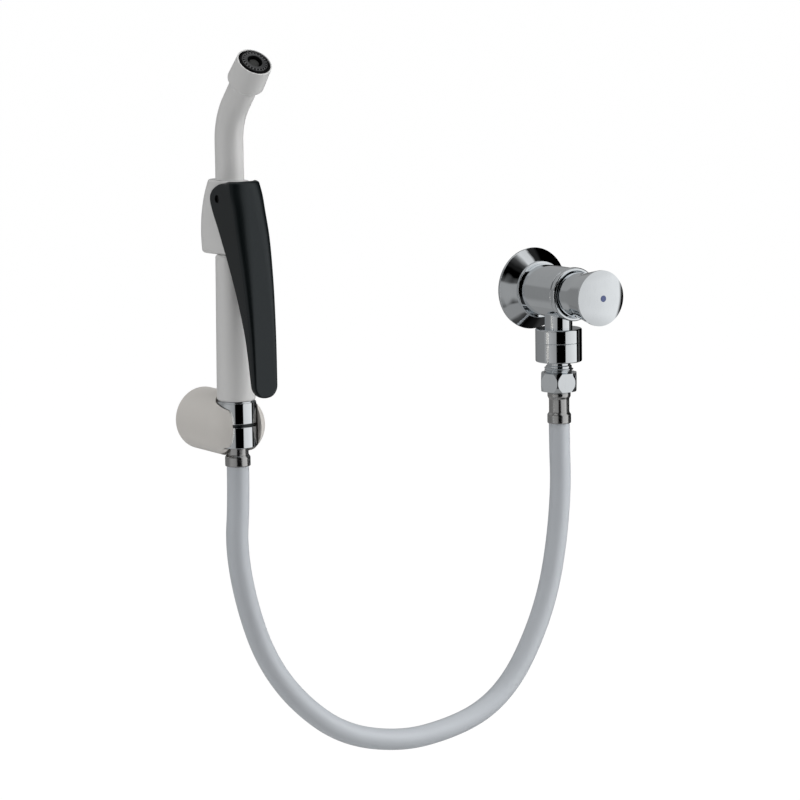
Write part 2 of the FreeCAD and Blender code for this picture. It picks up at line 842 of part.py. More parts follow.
def lever_half_width(z):
    share = (lever_top - z) / lever_length
    return lever_top_half_width + share * (lever_low_half_width - lever_top_half_width)


def web_outer(z):
    return lever_front_brow + (lever_top - z - lever_brow_drop) * web_slope()


def lever_front_view(inset, top, top_round):
    # outline seen from the room, drawn in the plane of the wall
    low = lever_bottom + inset
    half_top = lever_half_width(top) - inset
    half_low = lever_half_width(low) - inset
    tip_round = lever_tip_round - inset
    return [
        (Vector(handset_x - half_top, 0, top), top_round),
        (Vector(handset_x + half_top, 0, top), top_round),
        (Vector(handset_x + half_low, 0, low), tip_round),
        (Vector(handset_x - half_low, 0, low), tip_round),
    ]


def side_point(reach, drop):
    return Vector(handset_x - lever_top_half_width, spout_y - reach, lever_top - drop)


def lower_web_slope():
    return (lever_front_low - lever_front_knee) / (lever_length - lever_knee_drop)


def brow_slope():
    return (lever_front_brow - lever_front_top) / lever_brow_drop


def lever_side_view(top_round):
    # the outline runs a little past the tip, which the front view cuts
    past = lever_length + lever_wall
    low_reach = lever_front_low + lever_wall * lower_web_slope()
    return [
        (side_point(-lever_back_reach, 0), lever_back_round),
        (side_point(lever_cheek_bend_reach, lever_cheek_bend_drop), lever_cheek_bend_round),
        (side_point(low_reach - lever_cheek_low, past), 0),
        (side_point(low_reach, past), 0),
        (side_point(lever_front_knee, lever_knee_drop), lever_knee_round),
        (side_point(lever_front_brow, lever_brow_drop), lever_brow_round),
        (side_point(lever_front_top, 0), top_round),
    ]


def lever_hollow_view(above):
    # the room behind the web, open at the back and at the top
    past = lever_length + lever_wall
    upper_web = lever_web * math.hypot(1, web_slope())
    lower_web = lever_web * math.hypot(1, lower_web_slope())
    top_web = lever_web * math.hypot(1, brow_slope())
    low_reach = lever_front_low + lever_wall * lower_web_slope()
    return [
        (side_point(-lever_back_reach - above, -above), 0),
        (side_point(-lever_back_reach - above, past), 0),
        (side_point(low_reach - lower_web, past), 0),
        (side_point(lever_front_knee - upper_web, lever_knee_drop), lever_knee_round),
        (side_point(lever_front_brow - upper_web, lever_brow_drop), lever_brow_round),
        (side_point(lever_front_top - top_web - above * brow_slope(), -above), 0),
    ]


def round_front_edge(shape, inset, web, radius):
    # one long front edge stands for the whole chain round the tip
    drop = lever_knee_drop / 2
    z = lever_top - drop
    x = handset_x - lever_half_width(z) + inset
    spot = Part.Vertex(Vector(x, spout_y - web_outer(z) + web, z))
    edge = min(shape.Edges, key=lambda candidate: candidate.distToShape(spot)[0])
    return shape.makeFillet(radius, [edge])


def make_lever():
    width = sideways * (2 * lever_top_half_width)
    depth = out * (2 * handset_standoff)
    above = lever_edge
    blank = prism(lever_side_view(0), width).common(prism(lever_front_view(0, lever_top, 0), depth))
    lever = round_front_edge(blank, 0, 0, lever_edge)
    lever = lever.common(prism(lever_front_view(0, lever_top, lever_top_round), depth))
    lever = lever.common(prism(lever_side_view(lever_top_round), width))
    hollow = prism(lever_hollow_view(above), width).common(
        prism(lever_front_view(lever_wall, lever_top + above, 0), depth))
    web = lever_web * math.hypot(1, web_slope())
    hollow = round_front_edge(hollow, lever_wall, web, lever_edge - lever_wall)
    hole = rod(pivot_radius, -lever_top_half_width, lever_top_half_width,
               Vector(handset_x, pivot_y, pivot_z), sideways)
    nodes["trigger_lever"] = lever.cut(hollow).cut(hole)


# Spout and spray head

def make_spout():
    lean = math.radians(spout_lean)
    base = Vector(handset_x, spout_y, housing_top)
    corner_height = spout_rise + spout_bend_radius * math.tan(lean / 2)
    corner = base + up * corner_height
    face_centre = corner + spray_axis * (spout_bend_radius * math.tan(lean / 2) + spout_run)
    tube_end = face_centre - spray_axis * collar_face_depth

    def tube(radius):
        path = rounded_wire([(base, 0), (corner, spout_bend_radius), (tube_end, 0)], closed=False)
        return sweep(path, radius, base, up)

    spigot_base = base - up * spigot_length
    spigot = rod(spigot_radius, 0, spigot_length, spigot_base, up)
    spigot_bore = rod(spigot_bore_radius, 0, spigot_length + spout_wall, spigot_base, up)
    hollow = tube(spout_radius - spout_wall)
    floor = rod(spout_radius, 0, spout_wall, base, up)
    groove = ring(spigot_radius + cut_past, spigot_radius - 2 * seal_section,
                  (spigot_length - seal_room) / 2, (spigot_length + seal_room) / 2, spigot_base, up)
    spout = tube(spout_radius).fuse(spigot).cut(hollow.cut(floor)).cut(spigot_bore).cut(groove)
    nodes["spout_tube"] = spout.removeSplitter()
    nodes["spout_seal"] = o_ring(spigot_radius - 2 * seal_section, spigot_length / 2, spigot_base, up)
    make_spray_head(face_centre)


def make_spray_head(face_centre):
    tube_fit = spout_radius + push_clearance
    groove_low = -collar_seal_depth - seal_room / 2
    groove_high = -collar_seal_depth + seal_room / 2
    seal_radius = tube_fit + 2 * seal_section
    collar = lathe([
        (face_radius + push_clearance, 0),
        (face_radius + push_clearance, -collar_face_depth),
        (tube_fit, -collar_face_depth),
        (tube_fit, groove_high),
        (seal_radius, groove_high),
        (seal_radius, groove_low),
        (tube_fit, groove_low),
        (tube_fit, -collar_length),
        (collar_shoulder_radius, -collar_length, collar_edge),
        (collar_radius_low, -collar_length + collar_shoulder, collar_shoulder_round),
        (collar_radius_high, 0, collar_edge),
    ], face_centre, spray_axis)
    nodes["spray_collar"] = collar
    nodes["collar_seal"] = o_ring(tube_fit, -collar_seal_depth, face_centre, spray_axis)

    plate_top = -face_recess
    plate_bottom = plate_top - face_thickness
    plate = lathe([
        (0, plate_bottom),
        (face_radius, plate_bottom),
        (face_radius, plate_top, face_edge),
        (face_radius - face_rim_width, plate_top, face_edge),
        (face_radius - face_rim_width - face_step, plate_top - face_step, face_edge),
        (face_well_radius, plate_top - face_step, face_edge),
        (face_well_radius, plate_top - face_well_depth),
        (0, plate_top - face_well_depth),
    ], face_centre, spray_axis)
    drills = []
    across = sideways.cross(spray_axis)
    for index in range(nozzle_count):
        angle = 2 * math.pi * index / nozzle_count
        spoke = (sideways * math.cos(angle) + across * math.sin(angle)) * nozzle_ring_radius
        drills.append(rod(
            nozzle_radius, plate_bottom - cut_past, plate_top + cut_past, face_centre + spoke, spray_axis))
    nodes["spray_face"] = plate.cut(Part.makeCompound(drills))
    core_base = plate_top - face_well_depth
    nodes["spray_core"] = lathe([
        (0, core_base),
        (core_radius, core_base),
        (core_radius, core_base + core_height, face_edge),
        (0, core_base + core_height),
    ], face_centre, spray_axis)

    strainer_top = plate_bottom - seat_gap
    strainer_bottom = strainer_top - strainer_thickness
    strainer = rod(face_radius, strainer_bottom, strainer_top, face_centre, spray_axis)
    nodes["flow_strainer"] = strainer.cut(sieve_holes(
        strainer_hole_radius, 2, strainer_bottom - cut_past, strainer_top + cut_past,
        face_centre, spray_axis))


# Push valve

def make_valve_body():
    origin = Vector(0, 0, 0)
    seat_end = stem_seat_start + stem_seat_thickness
    barrel = lathe([
        (0, -inlet_length),
        (thread_radius, -inlet_length, thread_edge),
        (thread_radius, barrel_start),
        (barrel_radius, barrel_start, barrel_edge),
        (barrel_radius, barrel_end, barrel_edge),
        (0, barrel_end),
    ], origin, out)
    neck_end = breaker_top + breaker_wall + breaker_spigot
    neck = rod(outlet_radius, 0, neck_end, outlet_axis, down)
    body = barrel.fuse(neck)
    body = body.cut(rod(inlet_bore_radius, -inlet_length, stem_seat_start, origin, out))
    body = body.cut(rod(stem_seat_radius, stem_seat_start, seat_end, origin, out))
    body = body.cut(rod(chamber_bore_radius, seat_end, barrel_end, origin, out))
    body = body.cut(rod(bonnet_hole_radius, button_room, barrel_end, origin, out))
    body = body.cut(rod(outlet_bore_radius, 0, neck_end, outlet_axis, down))
    nodes["valve_body"] = body.removeSplitter()

    strainer_radius = inlet_bore_radius - push_clearance
    strainer_inner = strainer_radius - strainer_thickness
    strainer = lathe([
        (0, -inlet_length),
        (strainer_radius, -inlet_length),
        (strainer_radius, -inlet_length + strainer_depth),
        (strainer_inner, -inlet_length + strainer_depth),
        (strainer_inner, -inlet_length + strainer_thickness),
        (0, -inlet_length + strainer_thickness),
    ], origin, out)
    nodes["inlet_strainer"] = strainer.cut(sieve_holes(
        strainer_hole_radius, 2, -inlet_length - cut_past, -inlet_length + cut_past, origin, out))

    hub_hole = barrel_radius + push_clearance
    nodes["escutcheon"] = lathe([
        (escutcheon_back_radius, 0),
        (escutcheon_radius, escutcheon_rim, escutcheon_rim_round),
        (escutcheon_skirt_radius, escutcheon_skirt_height, escutcheon_skirt_round),
        (escutcheon_hub_radius, escutcheon_hub_start),
        (escutcheon_hub_radius, escutcheon_hub_height, escutcheon_hub_round),
        (hub_hole, escutcheon_hub_height),
        (hub_hole, escutcheon_hub_height - escutcheon_hub_depth),
        (escutcheon_skirt_radius - escutcheon_skin, escutcheon_skirt_height - escutcheon_skin,
         escutcheon_skirt_round),
        (escutcheon_back_radius - escutcheon_skin, 0),
    ], origin, out)


def make_bonnet():
    origin = Vector(0, 0, 0)
    ring_start = barrel_end + bonnet_groove
    ring_end = ring_start + bonnet_thickness
    groove_radius = barrel_radius - bonnet_groove
    nodes["bonnet_ring"] = lathe([
        (bonnet_hole_radius, barrel_end),
        (groove_radius, barrel_end),
        (groove_radius, ring_start),
        (bonnet_radius, ring_start, bonnet_back_edge),
        (bonnet_radius, ring_end, bonnet_front_edge),
        (bonnet_hole_radius, ring_end, bonnet_mouth_edge),
    ], origin, out)

    fit_radius = chamber_bore_radius - push_clearance
    seal_bed = fit_radius - 2 * seal_section
    start = barrel_end - cartridge_length
    stem_hole = stem_radius + running_clearance
    pocket = stem_hole + 2 * seal_section
    nodes["cartridge"] = lathe([
        (stem_hole, start + seal_room),
        (pocket, start + seal_room),
        (pocket, start),
        (fit_radius, start),
        (fit_radius, start + cartridge_rim),
        (seal_bed, start + cartridge_rim),
        (seal_bed, start + cartridge_rim + seal_room),
        (fit_radius, start + cartridge_rim + seal_room),
        (fit_radius, button_room),
        (cartridge_hub_radius, button_room),
        (cartridge_hub_radius, barrel_end + bonnet_groove),
        (stem_hole, barrel_end + bonnet_groove),
    ], origin, out)
    nodes["cartridge_seal"] = o_ring(seal_bed, start + cartridge_rim + seal_room / 2, origin, out)
    nodes["stem_seal"] = o_ring(stem_hole, start + seal_room / 2, origin, out)


def make_button():
    origin = Vector(0, 0, 0)
    neck_inner = button_neck_radius - button_wall
    crown = button_rim_distance - 2 * button_wall
    edge_distance = button_rim_distance + button_rim_round
    dome_height = button_face_distance - edge_distance
    dome_radius = (button_rim_radius ** 2 + dome_height ** 2) / (2 * dome_height)
    blank = lathe([
        (0, crown),
        (neck_inner, crown),
        (neck_inner, button_neck_start),
        (button_neck_radius, button_neck_start, button_neck_edge),
        (button_neck_radius, button_flare_start, button_flare_round),
        (button_rim_radius, button_rim_distance, button_rim_round),
        (button_rim_radius, button_face_distance),
        (0, button_face_distance),
    ], origin, out)
    dome = Part.makeSphere(dome_radius, out * (button_face_distance - dome_radius))
    crowned = blank.common(dome.fuse(rod(button_rim_radius, 0, button_rim_distance, origin, out)))
    dot_start = button_face_distance - dot_depth
    stem_end = crown + button_socket_depth
    stem_socket = rod(stem_radius, crown - cut_past, stem_end, origin, out)
    cap = crowned.cut(rod(dot_radius, dot_start, button_face_distance, origin, out)).cut(stem_socket)
    nodes["push_button"] = cap.removeSplitter()
    nodes["button_dot"] = rod(dot_radius, dot_start, button_face_distance + dot_proud, origin, out)

    head_end = stem_seat_start - stem_disc_thickness - running_clearance
    nodes["stem"] = lathe([
        (0, head_end - stem_head_thickness),
        (stem_head_radius, head_end - stem_head_thickness),
        (stem_head_radius, head_end),
        (stem_radius, head_end),
        (stem_radius, stem_end),
        (0, stem_end),
    ], origin, out)
    nodes["stem_disc"] = ring(
        stem_head_radius, stem_radius, head_end, head_end + stem_disc_thickness, origin, out)
    spring_base = out * (button_room + loose_gap)
    spring_length = crown - button_room - 2 * loose_gap
    nodes["return_spring"] = coil(
        return_spring_radius, return_spring_wire, return_spring_turns, spring_length, spring_base, out)


def make_breaker():
    spigot_radius_here = breaker_radius - breaker_wall - push_clearance
    neck_hole = outlet_radius + push_clearance
    nodes["breaker_cap"] = lathe([
        (neck_hole, breaker_top),
        (breaker_radius, breaker_top, breaker_edge),
        (breaker_radius, breaker_seam, breaker_seam_edge),
        (breaker_radius - breaker_wall, breaker_seam),
        (breaker_radius - breaker_wall, breaker_top + breaker_wall),
        (neck_hole, breaker_top + breaker_wall),
    ], outlet_axis, down)
    inner = spigot_radius_here - breaker_wall
    floor = breaker_bottom - breaker_wall
    thread_start = breaker_bottom + outlet_neck_length
    nodes["breaker_cup"] = lathe([
        (inner, breaker_seam - breaker_spigot),
        (spigot_radius_here, breaker_seam - breaker_spigot),
        (spigot_radius_here, breaker_seam),
        (breaker_radius, breaker_seam, breaker_seam_edge),
        (breaker_radius, breaker_bottom, breaker_low_edge),
        (outlet_neck_radius, breaker_bottom),
        (outlet_neck_radius, thread_start),
        (thread_root_radius, thread_start + outlet_shoulder),
        (thread_root_radius, hex_top + loose_gap),
        (thread_radius, hex_top + loose_gap),
        (thread_radius, outlet_thread_end, thread_edge),
        (outlet_bore_radius, outlet_thread_end),
        (outlet_bore_radius, floor),
        (inner, floor),
    ], outlet_axis, down)

    cone_start = floor - breaker_cone_height
    cone_radius = inner - push_clearance
    cone = lathe([
        (breaker_cone_hole, cone_start),
        (cone_radius, cone_start),
        (cone_radius, floor - push_clearance),
        (cone_radius - breaker_wall, floor - push_clearance),
        (breaker_cone_hole + breaker_wall, floor - push_clearance),
        (breaker_cone_hole, floor - push_clearance),
    ], outlet_axis, down)
    slot_inner = breaker_cone_hole + breaker_wall
    slot_length = cone_radius - breaker_wall - slot_inner
    slots = []
    for index in range(air_slot_count):
        slot = Part.makeBox(slot_length, air_slot_width, breaker_cone_height + 2 * cut_past)
        slot.translate(Vector(slot_inner, -air_slot_width / 2, -floor - cut_past))
        slot.rotate(Vector(0, 0, 0), up, 360 * index / air_slot_count)
        slot.translate(outlet_axis)
        slots.append(slot)
    nodes["breaker_cone"] = cone.cut(Part.makeCompound(slots))
    nodes["breaker_disc"] = ring(
        breaker_disc_radius, breaker_cone_hole, cone_start - breaker_disc_thickness, cone_start,
        outlet_axis, down)


def make_hose_nut():
    thread_hole = thread_radius + thread_clearance
    blank = hexagon(hex_across_flats, hex_bottom, -hex_top, hex_turn, outlet_axis)
    barrel = lathe([
        (0, hex_bottom),
        (hex_end_radius, hex_bottom),
        (hex_middle_radius, hex_bottom + hex_turned_length, hex_turned_round),
        (hex_middle_radius, -hex_top - hex_turned_length, hex_turned_round),
        (hex_end_radius, -hex_top),
        (0, -hex_top),
    ], outlet_axis, up)
    nut = blank.common(barrel)
    nut = nut.cut(rod(thread_hole, valve_tail_z, -hex_top, outlet_axis, up))
    nut = nut.cut(rod(tail_shank_radius + loose_gap, hex_bottom, valve_tail_z, outlet_axis, up))
    nodes["hose_nut"] = nut
    washer_bottom = valve_tail_z + tail_flange_height
    nodes["outlet_washer"] = ring(
        tail_flange_radius, washer_hole_radius, washer_bottom, -outlet_thread_end, outlet_axis, up)


make_holder()
make_inlet()
handset_hose_end, valve_hose_end = make_hose_ends()
make_hose(handset_hose_end, valve_hose_end)
make_grip()
make_housing()
make_hand_valve()
make_lever()
make_spout()
make_valve_body()
make_bonnet()
make_button()
make_breaker()
make_hose_nut()

os.makedirs("parts", exist_ok=True)
for name, shape in nodes.items():
    shape.exportStep("parts/" + name + ".step")
    print(name, "solids", len(shape.Solids), "valid", shape.isValid(), "volume", round(shape.Volume, 1))
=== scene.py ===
import json
import math
import bmesh
import bpy
import numpy as np
from mathutils import Matrix, Vector


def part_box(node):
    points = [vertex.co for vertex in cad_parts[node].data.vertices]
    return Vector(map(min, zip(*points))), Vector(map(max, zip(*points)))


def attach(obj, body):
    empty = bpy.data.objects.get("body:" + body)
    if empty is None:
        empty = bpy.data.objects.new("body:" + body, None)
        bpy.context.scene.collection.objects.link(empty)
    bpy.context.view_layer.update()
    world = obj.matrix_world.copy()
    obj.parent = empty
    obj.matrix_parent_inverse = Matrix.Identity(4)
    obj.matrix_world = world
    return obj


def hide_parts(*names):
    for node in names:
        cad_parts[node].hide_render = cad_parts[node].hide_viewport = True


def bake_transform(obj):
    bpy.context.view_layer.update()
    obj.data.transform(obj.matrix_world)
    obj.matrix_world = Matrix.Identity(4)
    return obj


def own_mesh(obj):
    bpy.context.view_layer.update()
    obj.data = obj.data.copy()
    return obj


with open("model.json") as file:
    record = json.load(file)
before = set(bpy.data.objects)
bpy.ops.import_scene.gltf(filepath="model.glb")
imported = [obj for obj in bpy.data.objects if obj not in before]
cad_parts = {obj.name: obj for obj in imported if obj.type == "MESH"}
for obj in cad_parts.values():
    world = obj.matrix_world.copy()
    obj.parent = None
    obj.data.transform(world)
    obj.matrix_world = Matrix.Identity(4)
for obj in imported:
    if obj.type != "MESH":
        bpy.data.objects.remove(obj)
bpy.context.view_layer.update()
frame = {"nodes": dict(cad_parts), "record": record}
nodes = frame["nodes"]
scene = bpy.context.scene
print("frame loaded with", len(nodes), "nodes")

# where the photo was taken from, in degrees and metres
cameraPlace = {
    "lens": 146.25,
    "sensor": 36.0,
    "azimuth": -33.35,
    "elevation": 8.67,
    "distance": 2.2655,
    "aim": (-0.134735, -0.030, -0.065644),
    "roll": 0.874,
}


def bearing(azimuth, elevation):
    # unit vector from the object towards that bearing; azimuth 0 is straight out from the wall
    a = math.radians(azimuth)
    e = math.radians(elevation)
    return Vector((math.sin(a) * math.cos(e), -math.cos(a) * math.cos(e), math.sin(e)))


def makeCamera(place):
    back = bearing(place["azimuth"], place["elevation"])
    right = (-back).cross(Vector((0, 0, 1))).normalized()
    upright = right.cross(-back)
    turn = math.radians(place["roll"])
    top = upright * math.cos(turn) + right * math.sin(turn)
    side = right * math.cos(turn) - upright * math.sin(turn)
    data = bpy.data.cameras.new("camera")
    data.lens = place["lens"]
    data.sensor_width = place["sensor"]
    camera = bpy.data.objects.new("camera", data)
    turned = Matrix((side, top, back)).transposed().to_4x4()
    camera.matrix_world = Matrix.Translation(Vector(place["aim"]) + back * place["distance"]) @ turned
    scene.collection.objects.link(camera)
    scene.camera = camera


makeCamera(cameraPlace)
print("camera placed")


# shader graphs

class Wire:
    # one socket of a graph, which sums and products of wires turn into Math nodes
    def __init__(self, graph, socket):
        self.graph = graph
        self.socket = socket

    def math(self, operation, first, second):
        return self.graph.add("ShaderNodeMath", {"operation": operation}, {0: first, 1: second})

    def __add__(self, other):
        return self.math("ADD", self, other)

    def __radd__(self, other):
        return self.math("ADD", other, self)

    def __sub__(self, other):
        return self.math("SUBTRACT", self, other)

    def __rsub__(self, other):
        return self.math("SUBTRACT", other, self)

    def __mul__(self, other):
        return self.math("MULTIPLY", self, other)

    def __rmul__(self, other):
        return self.math("MULTIPLY", other, self)

    def __truediv__(self, other):
        return self.math("DIVIDE", self, other)


class Graph:
    # the nodes of one new material, or of a world
    def __init__(self, name, kind="materials"):
        self.owner = getattr(bpy.data, kind).new(name)
        self.owner.use_nodes = True
        self.tree = self.owner.node_tree
        self.tree.nodes.clear()

    def add(self, kind, settings=None, values=None, output=0):
        # a node with its settings, then the values or wires of its sockets, as one wire from its output
        node = self.tree.nodes.new(kind)
        for name, value in (settings or {}).items():
            if name == "stops":
                self.fillRamp(node.color_ramp, value)
            else:
                setattr(node, name, value)
        for name, value in (values or {}).items():
            if isinstance(value, Wire):
                self.tree.links.new(value.socket, node.inputs[name])
            else:
                node.inputs[name].default_value = value
        return Wire(self, node.outputs[output]) if node.outputs else None

    def fillRamp(self, ramp, stops):
        while len(ramp.elements) < len(stops):
            ramp.elements.new(0.5)
        for element, (place, tone) in zip(ramp.elements, stops):
            element.position = place
            element.color = (tone, tone, tone, 1)

    def place(self, stretch=None):
        # the piece's own coordinates in metres, or stretched by a factor along each axis
        coordinates = self.add("ShaderNodeTexCoord", output="Object")
        return self.stretched(coordinates, stretch) if stretch else coordinates

    def stretched(self, vector, stretch):
        return self.add("ShaderNodeVectorMath", {"operation": "MULTIPLY"}, {0: vector, 1: stretch})

    def noise(self, vector, scale, detail, roughness=0.5):
        return self.add("ShaderNodeTexNoise", {}, {
            "Vector": vector, "Scale": scale, "Detail": detail, "Roughness": roughness})

    def blend(self, share, first, second):
        # a colour between two colours
        return self.add("ShaderNodeMix", {"data_type": "RGBA"}, {0: share, 6: first, 7: second}, output=2)

    def between(self, value, start, end):
        # 0 below the start, 1 above the end, and smooth in between
        return self.add("ShaderNodeMapRange", {"interpolation_type": "SMOOTHSTEP"}, {
            "Value": value, "From Min": start, "From Max": end})

    def ramp(self, value, stops):
        return self.add("ShaderNodeValToRGB", {"stops": stops}, {"Fac": value})

    def bump(self, height, distance, below=None):
        values = {"Height": height, "Distance": distance}
        if below is not None:
            values["Normal"] = below
        return self.add("ShaderNodeBump", {}, values)

    def finish(self, values):
        shader = self.add("ShaderNodeBsdfPrincipled", {}, values)
        self.add("ShaderNodeOutputMaterial", {}, {"Surface": shader})
        return self.owner


def shade(colour, share):
    # the colour made darker or paler, with its alpha
    return tuple(part * share for part in colour) + (1,)


# finishes

whiteLook = {
    "colour": (0.70, 0.70, 0.695),
    "unevenness": 0.035,
    "roughness": 0.30,
    "specular": 0.4,
    "tint": (1, 1, 1),
    "coat": 0.15,
    "coatRoughness": 0.12,
    # noise scales per metre, and how much each changes the gloss
    "cloudScale": 42,
    "cloudGloss": 0.10,
    "peelScale": 900,
    "peelGloss": 0.06,
    "peelDepth": 0.000006,
    "fleckScale": 5200,
    "fleckShare": 0.3,
    "edge": 0.00045,  # radius of the rounded edges, and the rays that find them
    "edgeSamples": 4,
}
holderLook = dict(whiteLook, colour=(0.70, 0.675, 0.64), roughness=0.38, coat=0.12)
blackLook = dict(
    whiteLook, colour=(0.0034, 0.0054, 0.0060), unevenness=0.18, specular=0.55, tint=(0.92, 1.0, 1.05), coat=0.0,
    peelScale=2600, peelDepth=0.000012, edge=0.0003)
coreLook = dict(blackLook, colour=(0.037, 0.038, 0.037), roughness=0.5, specular=0.25, tint=(1, 1, 1))
innerLook = dict(whiteLook, roughness=0.5, coat=0.0)
blueLook = dict(whiteLook, colour=(0.075, 0.10, 0.235), roughness=0.28, coat=0.6)


def mouldedPlastic(name, look):
    # slow clouds in the colour and gloss, the fine peel of a moulded skin, and edges a little rounded
    graph = Graph(name)
    rounded = graph.add("ShaderNodeBevel", {"samples": look["edgeSamples"]}, {"Radius": look["edge"]})
    place = graph.place()
    cloud = graph.noise(place, look["cloudScale"], 3)
    peel = graph.noise(place, look["peelScale"], 2)
    fleck = graph.noise(place, look["fleckScale"], 1)
    share = cloud * (1 - look["fleckShare"]) + fleck * look["fleckShare"]
    spread = look["unevenness"]
    colour = graph.blend(share, shade(look["colour"], 1 - spread), shade(look["colour"], 1 + spread))
    rough = look["roughness"] + (cloud - 0.5) * look["cloudGloss"] + (peel - 0.5) * look["peelGloss"]
    return graph.finish({
        "Base Color": colour,
        "Roughness": rough,
        "Specular IOR Level": look["specular"],
        "Specular Tint": (*look["tint"], 1),
        "Coat Weight": look["coat"],
        "Coat Roughness": look["coatRoughness"],
        "Normal": graph.bump(peel, look["peelDepth"], below=rounded),
    })


faceLook = {
    # the black of the rim, also painted into the nozzle holes as their shade
    "blackRimAndHoleShade": (0.004, 0.004, 0.0045),
    "ringColour": (0.042, 0.043, 0.045),
    # painted highlight: the pale colour of the raised nubs between the nozzles
    "nubHighlightColour": (0.15, 0.153, 0.157),
    "roughness": 0.22,
    "ringRoughness": 0.22,  # what the ring adds
    "specular": 0.12,
    "coatRoughness": 0.24,
    "grainScale": 3000,
    "grainShare": 0.25,
    "grainGloss": 0.06,
    "grainHeight": 0.03,
    "relief": 0.0001,
    "lean": 42.0,
    "rings": (0.0051, 0.00885),
    "soft": 0.00015,  # half the width over which the ring's two edges fade
    "nozzleRing": 0.0077,
    "nozzles": 22,
    # from full to nothing, as distances from the middle of a nozzle and of a nub
    "hole": (0.00048, 0.00066),
    "nub": (0.00015, 0.0005),
}


def sprayFace(name, look):
    # round the face's axis: a glossy black rim, then a matt grey ring with a raised nub between its nozzles,
    # painted pale as a highlight
    graph = Graph(name)
    lean = math.radians(look["lean"])
    low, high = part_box("spray_core")
    away = graph.add("ShaderNodeVectorMath", {"operation": "SUBTRACT"}, {0: graph.place(), 1: (low + high) / 2})
    across = graph.add("ShaderNodeVectorMath", {"operation": "DOT_PRODUCT"}, {
        0: away, 1: (0, math.cos(lean), math.sin(lean))}, output="Value")
    side = graph.add("ShaderNodeSeparateXYZ", {}, {"Vector": away})
    radius = graph.add("ShaderNodeMath", {"operation": "SQRT"}, {0: side * side + across * across})
    angle = graph.add("ShaderNodeMath", {"operation": "ARCTAN2"}, {0: across, 1: side})
    wave = graph.add("ShaderNodeMath", {"operation": "COSINE"}, {0: angle * look["nozzles"]})
    inner, outer = look["rings"]
    soft = look["soft"]
    ring = graph.between(radius, inner - soft, inner + soft) - graph.between(radius, outer - soft, outer + soft)
    # squared distances from the nozzles and from the middles between them
    off = radius - look["nozzleRing"]
    reach = 2 * (look["nozzleRing"] / look["nozzles"]) ** 2
    hole = 1 - graph.between(off * off + reach * (1 - wave), *(part**2 for part in look["hole"]))
    nub = 1 - graph.between(off * off + reach * (1 + wave), *(part**2 for part in look["nub"]))
    grain = graph.noise(graph.place(), look["grainScale"], 2)
    colour = graph.blend(ring, (*look["blackRimAndHoleShade"], 1), (*look["ringColour"], 1))
    # painted highlight: the nubs are raised by the bump, and their paler colour paints the light they catch
    colour = graph.blend(nub, colour, (*look["nubHighlightColour"], 1))
    # painted shade: the nozzle holes are painted as black as the rim
    colour = graph.blend(hole, colour, (*look["blackRimAndHoleShade"], 1))
    return graph.finish({
        "Base Color": graph.blend(grain * look["grainShare"], colour, (0, 0, 0, 1)),
        "Roughness": look["roughness"] + ring * look["ringRoughness"] + (grain - 0.5) * look["grainGloss"],
        "Specular IOR Level": look["specular"],
        "Coat Weight": ring * (1 - hole),
        "Coat Roughness": look["coatRoughness"],
        "Normal": graph.bump(nub + grain * look["grainHeight"], look["relief"]),
    })


chromeLook = {
    "colour": (0.835, 0.87, 0.895),
    "roughness": 0.035,
    "waveScale": 55,
    "waveDepth": 0.00006,
    "wiping": (900, 900, 130),
    "wipeShare": 0.4,
    "hazeScale": 70,
    "hazeRoughness": 0.6,
    "markSpan": (0.45, 0.75),  # where in the noise a mark starts and is full
    "markTone": 0.94,
    "smudge": 0.05,
}
plateLook = dict(chromeLook, waveDepth=0.0004, waveScale=75)


def polishedChrome(name, look):
    # plated brass: the casting's slow waves under a mirror skin, with faint wiping marks
    graph = Graph(name)
    place = graph.place()
    wave = graph.noise(place, look["waveScale"], 1)
    wipe = graph.noise(graph.place(look["wiping"]), 1, 3)
    haze = graph.noise(place, look["hazeScale"], 4, look["hazeRoughness"])
    start, full = look["markSpan"]
    mark = graph.ramp(haze * (1 - look["wipeShare"]) + wipe * look["wipeShare"], [(start, 0), (full, 1)])
    colour = graph.blend(mark, shade(look["colour"], 1), shade(look["colour"], look["markTone"]))
    return graph.finish({
        "Base Color": colour,
        "Metallic": 1.0,
        "Roughness": look["roughness"] + mark * look["smudge"],
        "Normal": graph.bump(wave, look["waveDepth"]),
    })


steelLook = {
    "colour": (0.62, 0.62, 0.61),
    "roughness": 0.26,
    # noise scales per metre: the lathe's lines round the piece and along it, and the clouds
    "roundScale": 60,
    "lineScale": 3800,
    "lineDepth": 0.000003,
    "lineShare": 0.45,
    "cloudScale": 160,
    "cloudRoughness": 0.6,
    "wear": 0.12,
    "wearGloss": 0.22,
}
sleeveLook = dict(
    steelLook, colour=(0.56, 0.56, 0.555), roughness=0.20, lineScale=5200, lineDepth=0.000002, wear=0.14)
darkSteelLook = dict(steelLook, colour=(0.030, 0.030, 0.031), roughness=0.35, wear=0.2)
brassLook = dict(
    steelLook, colour=(0.66, 0.47, 0.20), roughness=0.30, lineScale=3200, lineDepth=0.000004, wear=0.15)


def turnedMetal(name, look):
    # lines left by the lathe go round the piece, and the tone clouds slowly
    graph = Graph(name)
    across = graph.noise(graph.place((look["roundScale"], look["roundScale"], look["lineScale"])), 1, 3)
    cloud = graph.noise(graph.place(), look["cloudScale"], 4, look["cloudRoughness"])
    share = across * look["lineShare"] + cloud * (1 - look["lineShare"])
    colour = graph.blend(share, shade(look["colour"], 1 - look["wear"]), shade(look["colour"], 1 + look["wear"]))
    return graph.finish({
        "Base Color": colour,
        "Metallic": 1.0,
        "Roughness": look["roughness"] + (share - 0.5) * look["wearGloss"],
        "Normal": graph.bump(across, look["lineDepth"]),
    })


rubberLook = {
    "colour": (0.022, 0.022, 0.023),
    "roughness": 0.62,
    "grainScale": 2400,
    "grainGloss": 0.2,
    "grainDepth": 0.00001,
    "bloomScale": 110,
    "bloomTones": (0.7, 1.5),
}


